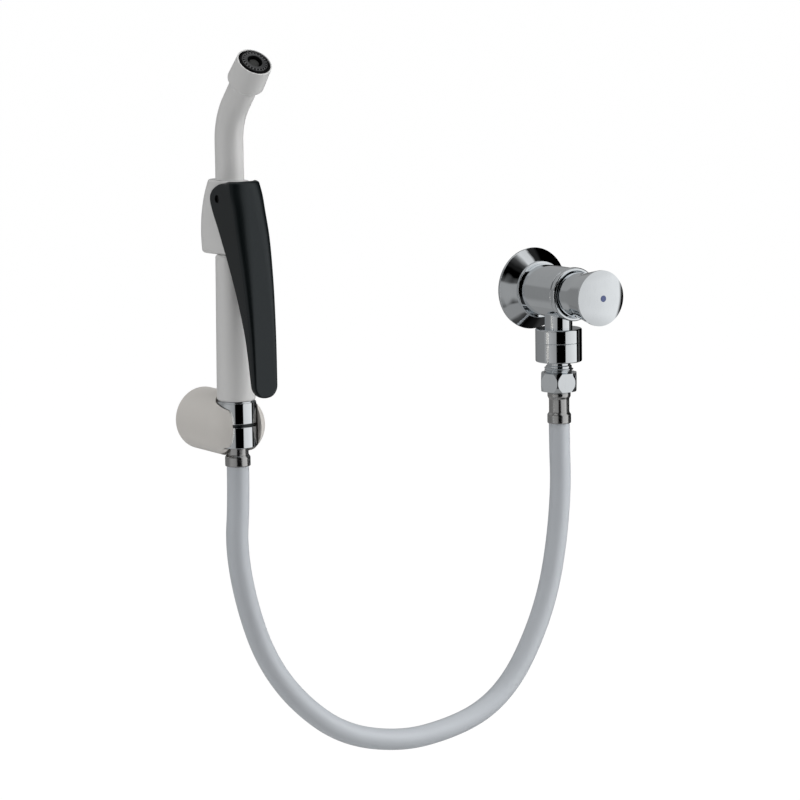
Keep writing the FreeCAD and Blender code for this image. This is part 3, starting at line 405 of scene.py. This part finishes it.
def sealRubber(name, look):
    # a fine grain, with the pale bloom that old rubber gets
    graph = Graph(name)
    grain = graph.noise(graph.place(), look["grainScale"], 3)
    bloom = graph.noise(graph.place(), look["bloomScale"], 3)
    dark, pale = (shade(look["colour"], tone) for tone in look["bloomTones"])
    return graph.finish({
        "Base Color": graph.blend(bloom, dark, pale),
        "Roughness": look["roughness"] + (grain - 0.5) * look["grainGloss"],
        "Normal": graph.bump(grain, look["grainDepth"]),
    })


hoseLook = {
    "colour": (0.56, 0.59, 0.625),
    "unevenness": 0.045,
    "roughness": 0.34,
    "coat": 0.2,
    "coatRoughness": 0.2,
    "subsurface": 0.08,
    "subsurfaceDepth": 0.004,
    # noise scales along the hose and round it
    "streaks": (3, 34, 1),
    "streakGloss": 0.12,
    "ripples": (260, 12, 1),
    "rippleDepth": 0.000012,
    "cloudScale": 30,
    "cloudShare": 0.5,
}


def hoseSkin(name, look):
    # extruded skin: faint streaks along the hose and a slight ripple from the braid below
    graph = Graph(name)
    layout = graph.add("ShaderNodeUVMap", {"uv_map": "alongAround"})
    streak = graph.noise(graph.stretched(layout, look["streaks"]), 1, 3)
    ripple = graph.noise(graph.stretched(layout, look["ripples"]), 1, 2)
    cloud = graph.noise(graph.place(), look["cloudScale"], 2)
    share = streak * (1 - look["cloudShare"]) + cloud * look["cloudShare"]
    spread = look["unevenness"]
    colour = graph.blend(share, shade(look["colour"], 1 - spread), shade(look["colour"], 1 + spread))
    return graph.finish({
        "Base Color": colour,
        "Roughness": look["roughness"] + (streak - 0.5) * look["streakGloss"],
        "Coat Weight": look["coat"],
        "Coat Roughness": look["coatRoughness"],
        "Subsurface Weight": look["subsurface"],
        "Subsurface Radius": (look["subsurfaceDepth"],) * 3,
        "Normal": graph.bump(ripple, look["rippleDepth"]),
    })


finishes = {
    "white_gloss": mouldedPlastic("whiteShell", whiteLook),
    "white_holder": mouldedPlastic("holderShell", holderLook),
    "black_gloss": mouldedPlastic("blackShell", blackLook),
    "grey_plastic": mouldedPlastic("greyCore", coreLook),
    "white_inner": mouldedPlastic("innerWhite", innerLook),
    "blue_mark": mouldedPlastic("blueMark", blueLook),
    "polished_chrome": polishedChrome("polishedChrome", chromeLook),
    "steel_sleeve": turnedMetal("crimpedSleeve", sleeveLook),
    "steel_plain": turnedMetal("plainSteel", steelLook),
    "blackened_steel": turnedMetal("blackenedSteel", darkSteelLook),
    "brass_plain": turnedMetal("turnedBrass", brassLook),
    "rubber_black": sealRubber("sealRubber", rubberLook),
    "hose_skin": hoseSkin("hoseSkin", hoseLook),
}
ownFinish = {
    "spray_face": sprayFace("sprayFace", faceLook),
    "escutcheon": polishedChrome("plateChrome", plateLook),
}

for part in frame["record"]["subparts"]:
    node = nodes[part["node"]]
    finish = ownFinish.get(part["node"], finishes[part["material_slot"]])
    if not node.material_slots:
        node.data.materials.append(finish)
    for place in node.material_slots:
        place.material = finish
print("finishes given to", len(nodes), "nodes")


# surfaces from grids

def fullTurn(count):
    # the angles of that many equal steps round a circle, as one row
    return np.linspace(0, 2 * math.pi, count, endpoint=False)[None]


def gridOf(*coordinates):
    # one grid of points from arrays that may each be a row, a column or a full table
    return np.stack(np.broadcast_arrays(*coordinates), axis=-1)


def gridMesh(name, grid, closedRound=True, mapping=None):
    # grid is rows x columns x 3; neighbouring rows and columns are joined by quads, and mapping has a UV per point
    rows, columns = grid.shape[:2]
    index = np.arange(rows * columns).reshape(rows, columns)
    across = np.roll(index, -1, axis=1) if closedRound else index[:, 1:]
    start = index if closedRound else index[:, :-1]
    quads = np.stack([start[:-1], across[:-1], across[1:], start[1:]], axis=-1).reshape(-1, 4)
    mesh = bpy.data.meshes.new(name)
    mesh.from_pydata(grid.reshape(-1, 3).tolist(), [], quads.tolist())
    if mapping is not None:
        layer = mesh.uv_layers.new(name="alongAround")
        corner = np.zeros(len(mesh.loops), np.int32)
        mesh.loops.foreach_get("vertex_index", corner)
        layer.data.foreach_set("uv", mapping.reshape(-1, 2)[corner].astype(np.float32).ravel())
    mesh.polygons.foreach_set("use_smooth", [True] * len(mesh.polygons))
    mesh.update()
    piece = bpy.data.objects.new(name, mesh)
    scene.collection.objects.link(piece)
    return piece


def weldPoles(piece, sharpFrom=None):
    # the points that fall together at the closed ends become one, and edges past the angle in degrees stay sharp
    work = bmesh.new()
    work.from_mesh(piece.data)
    bmesh.ops.remove_doubles(work, verts=work.verts, dist=1e-7)
    bmesh.ops.recalc_face_normals(work, faces=work.faces)
    work.to_mesh(piece.data)
    work.free()
    if sharpFrom:
        piece.data.set_sharp_from_angle(angle=math.radians(sharpFrom))


def finishPiece(piece, slot, body, replaced=None, finish=None):
    piece.data.materials.append(finish or finishes[slot])
    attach(piece, body)
    if replaced:
        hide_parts(replaced)


# hose

hose = {
    "diameter": 0.015,
    "length": 0.5906,
    "around": 48,
    "smoothness": 16,
    # from the handset's sleeve, down and round the low bend, up to the valve's sleeve
    "route": [
        (-0.2765, -0.0466, -0.0882),
        (-0.2765, -0.0466, -0.1190),
        (-0.2795, -0.0468, -0.1505),
        (-0.2720, -0.0463, -0.1910),
        (-0.2570, -0.0457, -0.2315),
        (-0.2310, -0.0445, -0.2655),
        (-0.1935, -0.0426, -0.2940),
        (-0.1450, -0.0403, -0.3065),
        (-0.1045, -0.0384, -0.3045),
        (-0.0705, -0.0368, -0.2960),
        (-0.0445, -0.0355, -0.2770),
        (-0.0245, -0.0346, -0.2470),
        (-0.0105, -0.0339, -0.2145),
        (-0.0025, -0.0336, -0.1760),
        (0.0010, -0.0334, -0.1390),
        (0.0000, -0.0334, -0.1120),
        (0.0000, -0.0334, -0.0885),
    ],
}


def readSpline(route, smoothness):
    # points along the smooth curve that has the route as its control points
    data = bpy.data.curves.new("route", "CURVE")
    data.dimensions = "3D"
    spline = data.splines.new("NURBS")
    spline.points.add(len(route) - 1)
    spline.points.foreach_set("co", [c for point in route for c in (*point, 1.0)])
    spline.order_u = 3
    spline.use_endpoint_u = True
    spline.resolution_u = smoothness
    carrier = bpy.data.objects.new("route", data)
    scene.collection.objects.link(carrier)
    bpy.context.view_layer.update()
    mesh = bpy.data.meshes.new_from_object(carrier.evaluated_get(bpy.context.evaluated_depsgraph_get()))
    points = np.zeros(len(mesh.vertices) * 3)
    mesh.vertices.foreach_get("co", points)
    bpy.data.objects.remove(carrier)
    bpy.data.meshes.remove(mesh)
    return points.reshape(-1, 3)


def makeHose(look):
    # a circle carried square to the path: point = path + radius (cos v side + sin v across)
    path = readSpline(look["route"], look["smoothness"])
    along = np.gradient(path, axis=0)
    along /= np.linalg.norm(along, axis=1, keepdims=True)
    outward = np.array([0.0, -1.0, 0.0])
    side = outward - (along @ outward)[:, None] * along
    side /= np.linalg.norm(side, axis=1, keepdims=True)
    across = np.cross(along, side)
    angle = fullTurn(look["around"])
    spoke = side[:, None] * np.cos(angle)[..., None] + across[:, None] * np.sin(angle)[..., None]
    tube = path[:, None] + spoke * (look["diameter"] / 2)
    ends = path[[0, -1], None].repeat(look["around"], axis=1)
    distance = np.concatenate([[0], np.cumsum(np.linalg.norm(np.diff(path, axis=0), axis=1))])
    print("hose centreline", round(float(distance[-1]), 4), "m")
    distance = np.concatenate([distance[:1], distance, distance[-1:]])
    mapping = gridOf(distance[:, None], np.sin(angle / 2))
    piece = gridMesh("hoseTube", np.concatenate([ends[:1], tube, ends[1:]]), mapping=mapping)
    weldPoles(piece)
    piece.data.materials.append(finishes["hose_skin"])
    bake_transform(piece)
    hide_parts("hose")


makeHose(hose)
print("hose made")


# thread above the hose nut

outletThread = {
    "axis": (0.0, -0.0334),
    "top": -0.0530,
    "bottom": -0.0581,
    "root": 0.0092,
    "crest": 0.01040,
    "pitch": 0.001814,
    "perTurn": 96,
    # across the ridge: place in pitches, and height between root and crest
    "ridge": [(0.50, 0.0), (0.16, 1.0), (-0.16, 1.0), (-0.50, 0.0), (0.0, -0.3)],
    "runOut": 0.9,  # the angle over which it rises at its ends, in radians
}


def makeThread(look):
    # a ridge wound down the outlet: angle t, height falling with t, radius from root to crest and back
    turns = (look["top"] - look["bottom"]) / look["pitch"] - 1
    angle = np.linspace(0, 2 * math.pi * turns, int(look["perTurn"] * turns))[:, None]
    rise, height = np.array(look["ridge"]).T[:, None]
    ends = np.clip(np.minimum(angle, angle[-1] - angle) / look["runOut"], 0, 1)
    radius = look["root"] + height * (look["crest"] - look["root"]) * np.where(height > 0, ends, 1)
    level = look["top"] + look["pitch"] * (rise - 0.5 - angle / (2 * math.pi))
    x, y = look["axis"]
    piece = gridMesh("outletThread", gridOf(x + radius * np.cos(angle), y + radius * np.sin(angle), level))
    finishPiece(piece, "polished_chrome", "wall_set")


makeThread(outletThread)
print("thread made")


# lever

lever = {
    "middle": -0.2765,
    "back": -0.0445,
    "top": 0.0976,
    "length": 0.1419,
    "wall": 0.0016,
    "web": 0.0020,
    "topEdge": 0.0018,
    "topFall": 0.0011,
    "tipRound": 0.0083,
    "pin": (0.0035, 0.0121, 0.0027),  # reach, drop and radius of its holes
    "boreReach": 0.02,
    "boreAround": 64,
    "innerCorner": 0.006,  # the inset at which the inner skin's corner has no depth left
    "fallRun": 0.006,  # how far behind the corner the top has fallen by all of topFall
    "sharpFrom": 38,  # degrees between faces
    # steps down the lever and round its tip, then across a corner, a cheek and half the front
    "rows": 91,
    "tipRows": 31,
    "cornerColumns": 25,
    "cheekColumns": 14,
    "frontColumns": 8,
    # in millimetres, from the top down: drop, then half the width
    "width": [(0, 11.4), (9, 12.3), (19, 12.2), (35, 12.5), (58, 11.8), (97, 10.3), (141.5, 9.0)],
    # drop, then how far the front reaches out from the spout's axis
    "front": [(0, 22.5), (19, 28.1), (45, 33.7), (71, 37.6), (97, 40.0), (141.5, 41.8)],
    # drop, then the same for the cheeks' rear edge, below the round by the pivot
    "rear": [(12.2, -5.6), (14, -5.5), (20, -3.1), (32, 4.4), (58, 17.2), (97, 31.1), (141.5, 38.3)],
    "rearRound": (12.2, 21.0),  # height and depth of the quarter ellipse by the pivot
    # drop, then width and depth of the rounded corner between front and cheek
    "corner": [(0, 12.0, 5.0), (45, 8.4, 3.8), (97, 4.0, 2.5), (141.5, 1.8, 1.6)],
}


def curveThrough(points, places):
    # the columns after the first, read at the places: a cubic between points, with the slope of its neighbours
    table = np.array(points, float) / 1000
    at = table[:, 0]
    slope = np.gradient(table, at, axis=0)
    row = np.clip(np.searchsorted(at, places, side="right") - 1, 0, len(at) - 2)
    gap = (at[row + 1] - at[row])[:, None]
    t = (places - at[row])[:, None] / gap
    low = (2 * t**3 - 3 * t**2 + 1) * table[row] + (t**3 - 2 * t**2 + t) * gap * slope[row]
    high = (3 * t**2 - 2 * t**3) * table[row + 1] + (t**3 - t**2) * gap * slope[row + 1]
    return (low + high).T[1:]


def leverSkin(look, inset, web):
    # one row per height: rear edge, cheek, corner x = a (1 - cos t), y = b (1 - sin t), front, and the same back
    turn = np.linspace(0, math.pi / 2, look["tipRows"])
    straight = look["length"] - look["tipRound"]
    tip, edge = look["tipRound"] - inset, look["topEdge"]
    middle = np.linspace(edge, straight, look["rows"])[1:-1]
    drop = np.concatenate([edge * (1 - np.cos(turn[::4])), middle, straight + tip * np.sin(turn)])
    past = np.concatenate([np.zeros(len(drop) - len(turn)), turn])
    half, = curveThrough(look["width"], drop)
    front, = curveThrough(look["front"], drop)
    rear, = curveThrough(look["rear"], drop)
    wide, deep = curveThrough(look["corner"], drop)
    # the cheeks' upper rear edge is a quarter ellipse, and the tip a half round seen from the front
    high, far = (part / 1000 for part in look["rearRound"])
    above = np.clip(1 - drop / high, 0, 1)
    rear = np.where(drop < high, look["rear"][0][1] / 1000 + far * (1 - np.sqrt(1 - above**2)), rear)
    rim = 0 if inset else edge - np.sqrt(edge**2 - np.clip(edge - drop, 0, edge) ** 2)
    half = half - inset - rim - tip * (1 - np.cos(past))
    # the front turns in over the tip's last stretch as it does at its sides
    last = np.clip(1 - (drop[-1] - drop) / deep[-1], 0, 1)
    front = front - web - rim - (0 if inset else 1) * deep * (1 - np.sqrt(1 - last**2))
    wide = np.minimum(wide - inset, half)[:, None]
    deep = (deep * (1 - inset / look["innerCorner"]))[:, None]
    half, front, rear = half[:, None], front[:, None], rear[:, None]
    quarter = np.linspace(0, math.pi / 2, look["cornerColumns"])[None]
    cheek = np.linspace(0, 1, look["cheekColumns"])[None, :-1]
    inward = np.linspace(1, 0, look["frontColumns"])[None, 1:]
    side = np.concatenate([-half + 0 * cheek, -half + wide * (1 - np.cos(quarter)), (wide - half) * inward], axis=1)
    reach = np.concatenate([
        rear + (front - deep - rear) * cheek, front - deep * (1 - np.sin(quarter)), front + 0 * inward], axis=1)
    side = np.concatenate([side, -side[:, -2::-1]], axis=1)
    reach = np.concatenate([reach, reach[:, -2::-1]], axis=1)
    # the cheeks' top falls a little behind the corner
    behind = np.clip((front - deep - reach) / look["fallRun"], 0, 1)
    fall = look["topFall"] * behind**2 * (3 - 2 * behind) * above[:, None]
    skin = gridOf(side, reach, drop[:, None] + fall)
    return np.concatenate([skin, skin[-1:] * (0, 1, 1)])


def crossRod(name, middle, reach, radius, around):
    # a closed round rod along x, for boring: middle + radius (cos, sin) across it, and reach to both sides
    angle = fullTurn(around)
    size = np.array([0, 1, 1, 0])[:, None] * radius
    along = np.array([-1, -1, 1, 1])[:, None] * reach
    x, y, z = middle
    piece = gridMesh(name, gridOf(x + along, y + size * np.cos(angle), z + size * np.sin(angle)))
    weldPoles(piece)
    return piece


def makeLever(look):
    # outer and inner skin, joined along the rear edges and across the top, then bored for the two pins
    outer = leverSkin(look, 0, 0)
    inner = leverSkin(look, look["wall"], look["web"])[:, ::-1]
    across = np.concatenate([inner[:1, ::-1], inner[:1]], axis=1)
    skin = np.concatenate([across, np.concatenate([outer, inner], axis=1)])
    blank = gridMesh("leverBlank", np.array([look["middle"], look["back"], look["top"]]) + skin * (1, -1, -1))
    weldPoles(blank)
    reach, drop, radius = look["pin"]
    pinMiddle = (look["middle"], look["back"] - reach, look["top"] - drop)
    bore = crossRod("leverBore", pinMiddle, look["boreReach"], radius, look["boreAround"])
    cut = blank.modifiers.new("holes", "BOOLEAN")
    cut.object = bore
    bpy.context.view_layer.update()
    mesh = bpy.data.meshes.new_from_object(blank.evaluated_get(bpy.context.evaluated_depsgraph_get()))
    mesh.name = "leverShell"
    mesh.set_sharp_from_angle(angle=math.radians(look["sharpFrom"]))
    piece = bpy.data.objects.new("leverShell", mesh)
    scene.collection.objects.link(piece)
    for spent in (blank, bore):
        data = spent.data
        bpy.data.objects.remove(spent)
        bpy.data.meshes.remove(data)
    finishPiece(piece, "black_gloss", "lever", "trigger_lever")


makeLever(lever)
print("lever made")


# spray face

face = {
    "centre": (-0.2765, -0.079754, 0.176141),
    "lean": faceLook["lean"],
    "around": 440,
    "sharpFrom": 60,
    # in millimetres, radius and height above the collar's rim: well, ring with the nozzles, low rim and back
    "well": [(0, -1.95), (4.95, -1.95), (5.02, -1.8), (5.02, 0.4), (5.08, 0.75), (5.25, 0.95)],
    "ring": [(5.45, 1.0), (6.2, 0.9), (8.55, 0.45)],
    "rim": [(8.72, 0.38), (8.85, 0.25), (8.92, 0.0), (8.95, -0.7), (9.1, -0.9), (9.6, -0.92), (10.6, -0.86),
            (10.9, -0.76), (11.02, -0.8), (11.05, -0.95), (11.05, -3.95), (0, -3.95)],
    "ringRows": 35,
    "holes": faceLook["nozzles"],
    "holeRing": faceLook["nozzleRing"],
    "holeRadius": 0.00068,
    "holeDepth": 0.0009,
    "core": [(0, -1.95), (3.3, -1.95), (3.3, -1.0), (3.24, -0.86), (3.1, -0.8), (0, -0.8)],
}


def faceLathe(look, name, radius, height):
    # rings round the face's axis: centre + radius (cos, sin) across it + height along it
    angle = fullTurn(look["around"])
    lean = math.radians(look["lean"])
    axis = np.array([0, -math.sin(lean), math.cos(lean)])
    across = np.array([0, math.cos(lean), math.sin(lean)])
    x = (radius * np.cos(angle))[..., None]
    y = (radius * np.sin(angle))[..., None]
    piece = gridMesh(name, np.array(look["centre"]) + x * (1, 0, 0) + y * across + height[..., None] * axis)
    weldPoles(piece, look["sharpFrom"])
    return piece


def makeFace(look):
    # a turned profile with a ring of round pits: height = profile - depth (1 - (distance / radius)^2)
    ringRadius, ringHeight = np.array(look["ring"]).T
    fine = np.linspace(ringRadius[0], ringRadius[-1], look["ringRows"])
    ring = np.stack([fine, np.interp(fine, ringRadius, ringHeight)], axis=-1)
    radius, height = (np.concatenate([look["well"], ring, look["rim"]]).T / 1000)[..., None]
    angle = fullTurn(look["around"])
    step = 2 * math.pi / look["holes"]
    off = (angle + step / 2) % step - step / 2
    away = np.hypot(radius - look["holeRing"], look["holeRing"] * off) / look["holeRadius"]
    pit = look["holeDepth"] * np.clip(1 - away**2, 0, 1)
    piece = faceLathe(look, "nozzleFace", radius, height - pit)
    finishPiece(piece, "black_gloss", "handset", "spray_face", ownFinish["spray_face"])
    radius, height = (np.array(look["core"]).T / 1000)[..., None]
    core = faceLathe(look, "nozzleCore", radius, height + 0 * angle)
    finishPiece(core, "grey_plastic", "handset", "spray_core")


makeFace(face)
print("spray face made")


# hose ferrules

ferrule = {
    "around": 216,
    "flutes": 9,
    "sharpFrom": 60,
    # in millimetres: radius, height above the lower end, and depth of the crimp's flutes
    "lower": [(5.3, 6.2, 0), (7.62, 6.2, 0), (7.62, 0.3, 0), (7.72, 0, 0), (7.95, 0, 0), (8.35, 0.12, 0.01),
              (8.52, 0.45, 0.02), (8.55, 0.9, 0.03), (8.55, 5.7, 0.03), (8.5, 6.2, 0.03), (8.32, 6.6, 0.04),
              (7.62, 7.5, 0.06), (7.42, 7.9, 0.07), (7.3, 9.0, 0.09)],
    # the same below the upper end
    "upper": [(7.3, 6.1, 0.09), (7.36, 5.6, 0.08), (7.52, 5.2, 0.06), (8.05, 4.3, 0.03), (8.25, 3.9, 0.02),
              (8.35, 3.3, 0.01), (8.35, 0.7, 0), (7.65, 0, 0), (5.3, 0, 0)],
}
sleeves = {
    # axis, top, length, turn of the flutes, body, and the node that it replaces
    "handsetSleeve": ((-0.2765, -0.0466), -0.0765, 0.0179, 0.3, "handset", "handset_ferrule"),
    "valveSleeve": ((0.0, -0.0334), -0.0715, 0.0232, 0.9, "wall_set", "valve_ferrule"),
}


def makeFerrule(look, name, axis, top, length, turn, body, replaced):
    # a turned profile whose neck the crimp has fluted: radius = profile + depth cos(flutes angle)
    lower = np.array(look["lower"]) / 1000 + (0, top - length, 0)
    upper = np.array(look["upper"]) / 1000 * (1, -1, 1) + (0, top, 0)
    radius, level, depth = np.concatenate([lower, upper, lower[:1]]).T[..., None]
    angle = fullTurn(look["around"])
    radius = radius + depth * np.cos(look["flutes"] * angle + turn)
    x, y = axis
    piece = gridMesh(name, gridOf(x + radius * np.cos(angle), y + radius * np.sin(angle), level))
    weldPoles(piece, look["sharpFrom"])
    finishPiece(piece, "steel_sleeve", body, replaced)


for name, values in sleeves.items():
    makeFerrule(ferrule, name, *values)
print("ferrules made")


# springs, wound in the boxes of the coils that they replace

springs = {
    "handSpring": {
        "node": "valve_spring", "body": "handset", "joint": "plunger_push", "fixedEnd": -0.0208, "travel": 0.0031,
        "turns": 5, "wire": 0.0004,
    },
    "buttonSpring": {
        "node": "return_spring", "body": "wall_set", "joint": "button_push", "fixedEnd": -0.0382, "travel": 0.008,
        "turns": 6, "wire": 0.0006,
    },
}
springSteps = {"perTurn": 60, "aroundWire": 12}


def makeSpring(name, look):
    # a round wire wound along y: radius and height of the wire's ring at t turns, closed to a point at both ends
    low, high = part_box(look["node"])
    middle = (low + high) / 2
    wire = look["wire"]
    coil = (high.x - low.x) / 2 - wire
    share = np.concatenate([[0], np.linspace(0, 1, springSteps["perTurn"] * look["turns"]), [1]])[:, None]
    thick = np.full(share.shape, wire)
    thick[0] = thick[-1] = 0
    turn = 2 * math.pi * look["turns"] * share
    wireTurn = fullTurn(springSteps["aroundWire"])
    out = coil + thick * np.cos(wireTurn)
    y = low.y + wire + (high.y - low.y - 2 * wire) * share + thick * np.sin(wireTurn)
    piece = gridMesh(name, gridOf(middle.x + out * np.cos(turn), y, middle.z + out * np.sin(turn)))
    weldPoles(piece)
    finishPiece(piece, "steel_plain", look["body"], look["node"])
    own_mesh(piece)


for name, look in springs.items():
    makeSpring(name, look)
print("springs made")


# studio

studio = {
    "floorHeight": -0.46,
    "floorSize": 60.0,
    "floorTone": 0.8,
    "floorGlow": 1.06,  # the white that the camera sees, and its share of the floor there
    "floorGlowShare": 0.93,
    "worldLevel": 0.23,
    "centre": (-0.13, -0.04, -0.05),
}
lamps = {
    # azimuth, elevation, distance, size and power of each soft lamp
    "keyLamp": (54, 20, 1.7, 1.2, 21),
    "fillLamp": (-100, 12, 1.9, 1.4, 7.8),
    "topLamp": (-30, 76, 1.8, 1.3, 12.5),
}
room = {
    "radius": 1.75,
    "bottom": -0.405,
    "around": 96,
    "upward": 48,
    # what the chrome mirrors, from the ground up: brightness against azimuth in degrees
    "bands": [
        [(-180, 0.27), (8, 0.27), (40, 0.07), (62, 0.04), (84, 0), (104, 0.01), (116, 0.25), (180, 0.27)],
        [(-180, 0.31), (-50, 0.32), (-43, 0.03), (0, 0.03), (6, 0.55), (64, 0.70), (70, 0.03), (125, 0.04),
         (150, 0.26), (180, 0.28)],
        [(-180, 0.22), (-115, 0.24), (-102, 0.37), (-85, 0.43), (-46, 0.31), (-43, 0), (2, 0), (4, 0.66),
         (64, 0.88), (67, 0), (82, 0), (84, 0.45), (86, 0), (128, 0), (134, 0.20), (180, 0.19)],
        [(-180, 0.32), (-125, 0.30), (-110, 0.10), (-80, 0.12), (-53, 0.16), (-45, 0), (2, 0), (4, 0.62),
         (64, 0.80), (67, 0), (128, 0), (140, 0.33), (180, 0.32)],
        [(-180, 0.40), (-75, 0.50), (-60, 0.10), (-48, 0.01), (-28, 0.01), (-12, 0.06), (2, 0.30), (16, 0.72),
         (58, 0.66), (66, 0.02), (98, 0.02), (106, 0.45), (180, 0.40)],
        [(-180, 0.40), (-95, 0.50), (-90, 1), (60, 1), (66, 0.02), (98, 0.02), (106, 0.45), (180, 0.40)],
    ],
    # the elevations over which each band passes into the next
    "heights": [(-46, -36), (-28, -16), (11, 18), (46, 52), (70, 78)],
}


def makeFloor(look):
    half = look["floorSize"] / 2
    corners = np.array([[[-half, -half], [-half, half]], [[half, -half], [half, half]]])
    level = np.full((2, 2, 1), look["floorHeight"])
    floor = gridMesh("studioFloor", np.concatenate([corners, level], axis=-1), closedRound=False)
    graph = Graph("paleFloor")
    lit = graph.add("ShaderNodeBsdfDiffuse", {}, {"Color": shade((1, 1, 1), look["floorTone"])})
    white = graph.add("ShaderNodeEmission", {}, {"Color": (1, 1, 1, 1), "Strength": look["floorGlow"]})
    share = backgroundRays(graph) * look["floorGlowShare"]
    mixed = graph.add("ShaderNodeMixShader", {}, {0: share, 1: lit, 2: white})
    graph.add("ShaderNodeOutputMaterial", {}, {"Surface": mixed})
    floor.data.materials.append(graph.owner)


def backgroundRays(graph):
    # 1 for the rays that show the background: straight to the camera, mirrored, or through something clear
    camera, glossy, clear = (graph.add("ShaderNodeLightPath", output=name) for name in (
        "Is Camera Ray", "Is Glossy Ray", "Is Transmission Ray"))
    return graph.add("ShaderNodeMath", {"operation": "ADD", "use_clamp": True}, {0: camera + glossy, 1: clear})


def makeWorld(look):
    graph = Graph("studioAir", "worlds")
    scene.world = graph.owner
    seen = backgroundRays(graph)
    strength = seen + (1 - seen) * look["worldLevel"]
    air = graph.add("ShaderNodeBackground", {}, {"Color": (1, 1, 1, 1), "Strength": strength})
    graph.add("ShaderNodeOutputWorld", {}, {"Surface": air})


def makeLamp(name, azimuth, elevation, distance, size, power):
    data = bpy.data.lights.new(name, "AREA")
    data.shape = "DISK"
    data.size = size
    data.energy = power
    lamp = bpy.data.objects.new(name, data)
    away = bearing(azimuth, elevation)
    turned = away.to_track_quat("Z", "Y").to_matrix().to_4x4()
    lamp.matrix_world = Matrix.Translation(Vector(studio["centre"]) + away * distance) @ turned
    lamp.visible_glossy = False
    scene.collection.objects.link(lamp)


def makeRoom(look):
    # the dark room with its soft boxes, seen only in reflections: radius (cos, sin) round it and in height
    angle = fullTurn(look["around"])
    rise = np.linspace(math.asin(look["bottom"] / look["radius"]), math.pi / 2, look["upward"])
    reach = np.concatenate([[0.0], look["radius"] * np.cos(rise)])[:, None]
    height = np.concatenate([[look["bottom"]], look["radius"] * np.sin(rise)])[:, None]
    dome = gridMesh("darkRoom", gridOf(reach * np.cos(angle), reach * np.sin(angle), height))
    weldPoles(dome)
    dome.location = studio["centre"]
    graph = Graph("roomLight")
    x, y, z = (graph.add("ShaderNodeSeparateXYZ", {}, {"Vector": graph.place()}, output=axis) for axis in range(3))
    turn = graph.add("ShaderNodeMath", {"operation": "ARCTAN2"}, {0: x, 1: -1 * y}) / (2 * math.pi) + 0.5
    length = graph.add("ShaderNodeVectorMath", {"operation": "LENGTH"}, {0: graph.place()}, output="Value")
    lift = graph.add("ShaderNodeMath", {"operation": "ARCSINE"}, {0: z / length}) * (180 / math.pi)
    glow, *others = (
        graph.ramp(turn, [((azimuth + 180) / 360, level) for azimuth, level in band]) for band in look["bands"])
    for band, (low, high) in zip(others, look["heights"]):
        glow = graph.blend(graph.between(lift, low, high), glow, band)
    light = graph.add("ShaderNodeEmission", {}, {"Color": glow})
    graph.add("ShaderNodeOutputMaterial", {}, {"Surface": light})
    dome.data.materials.append(graph.owner)
    dome.visible_camera = False
    dome.visible_diffuse = False
    dome.visible_transmission = False
    dome.visible_shadow = False


makeFloor(studio)
makeWorld(studio)
for name, values in lamps.items():
    makeLamp(name, *values)
makeRoom(room)
scene.view_settings.view_transform = "Standard"
print("studio lit")
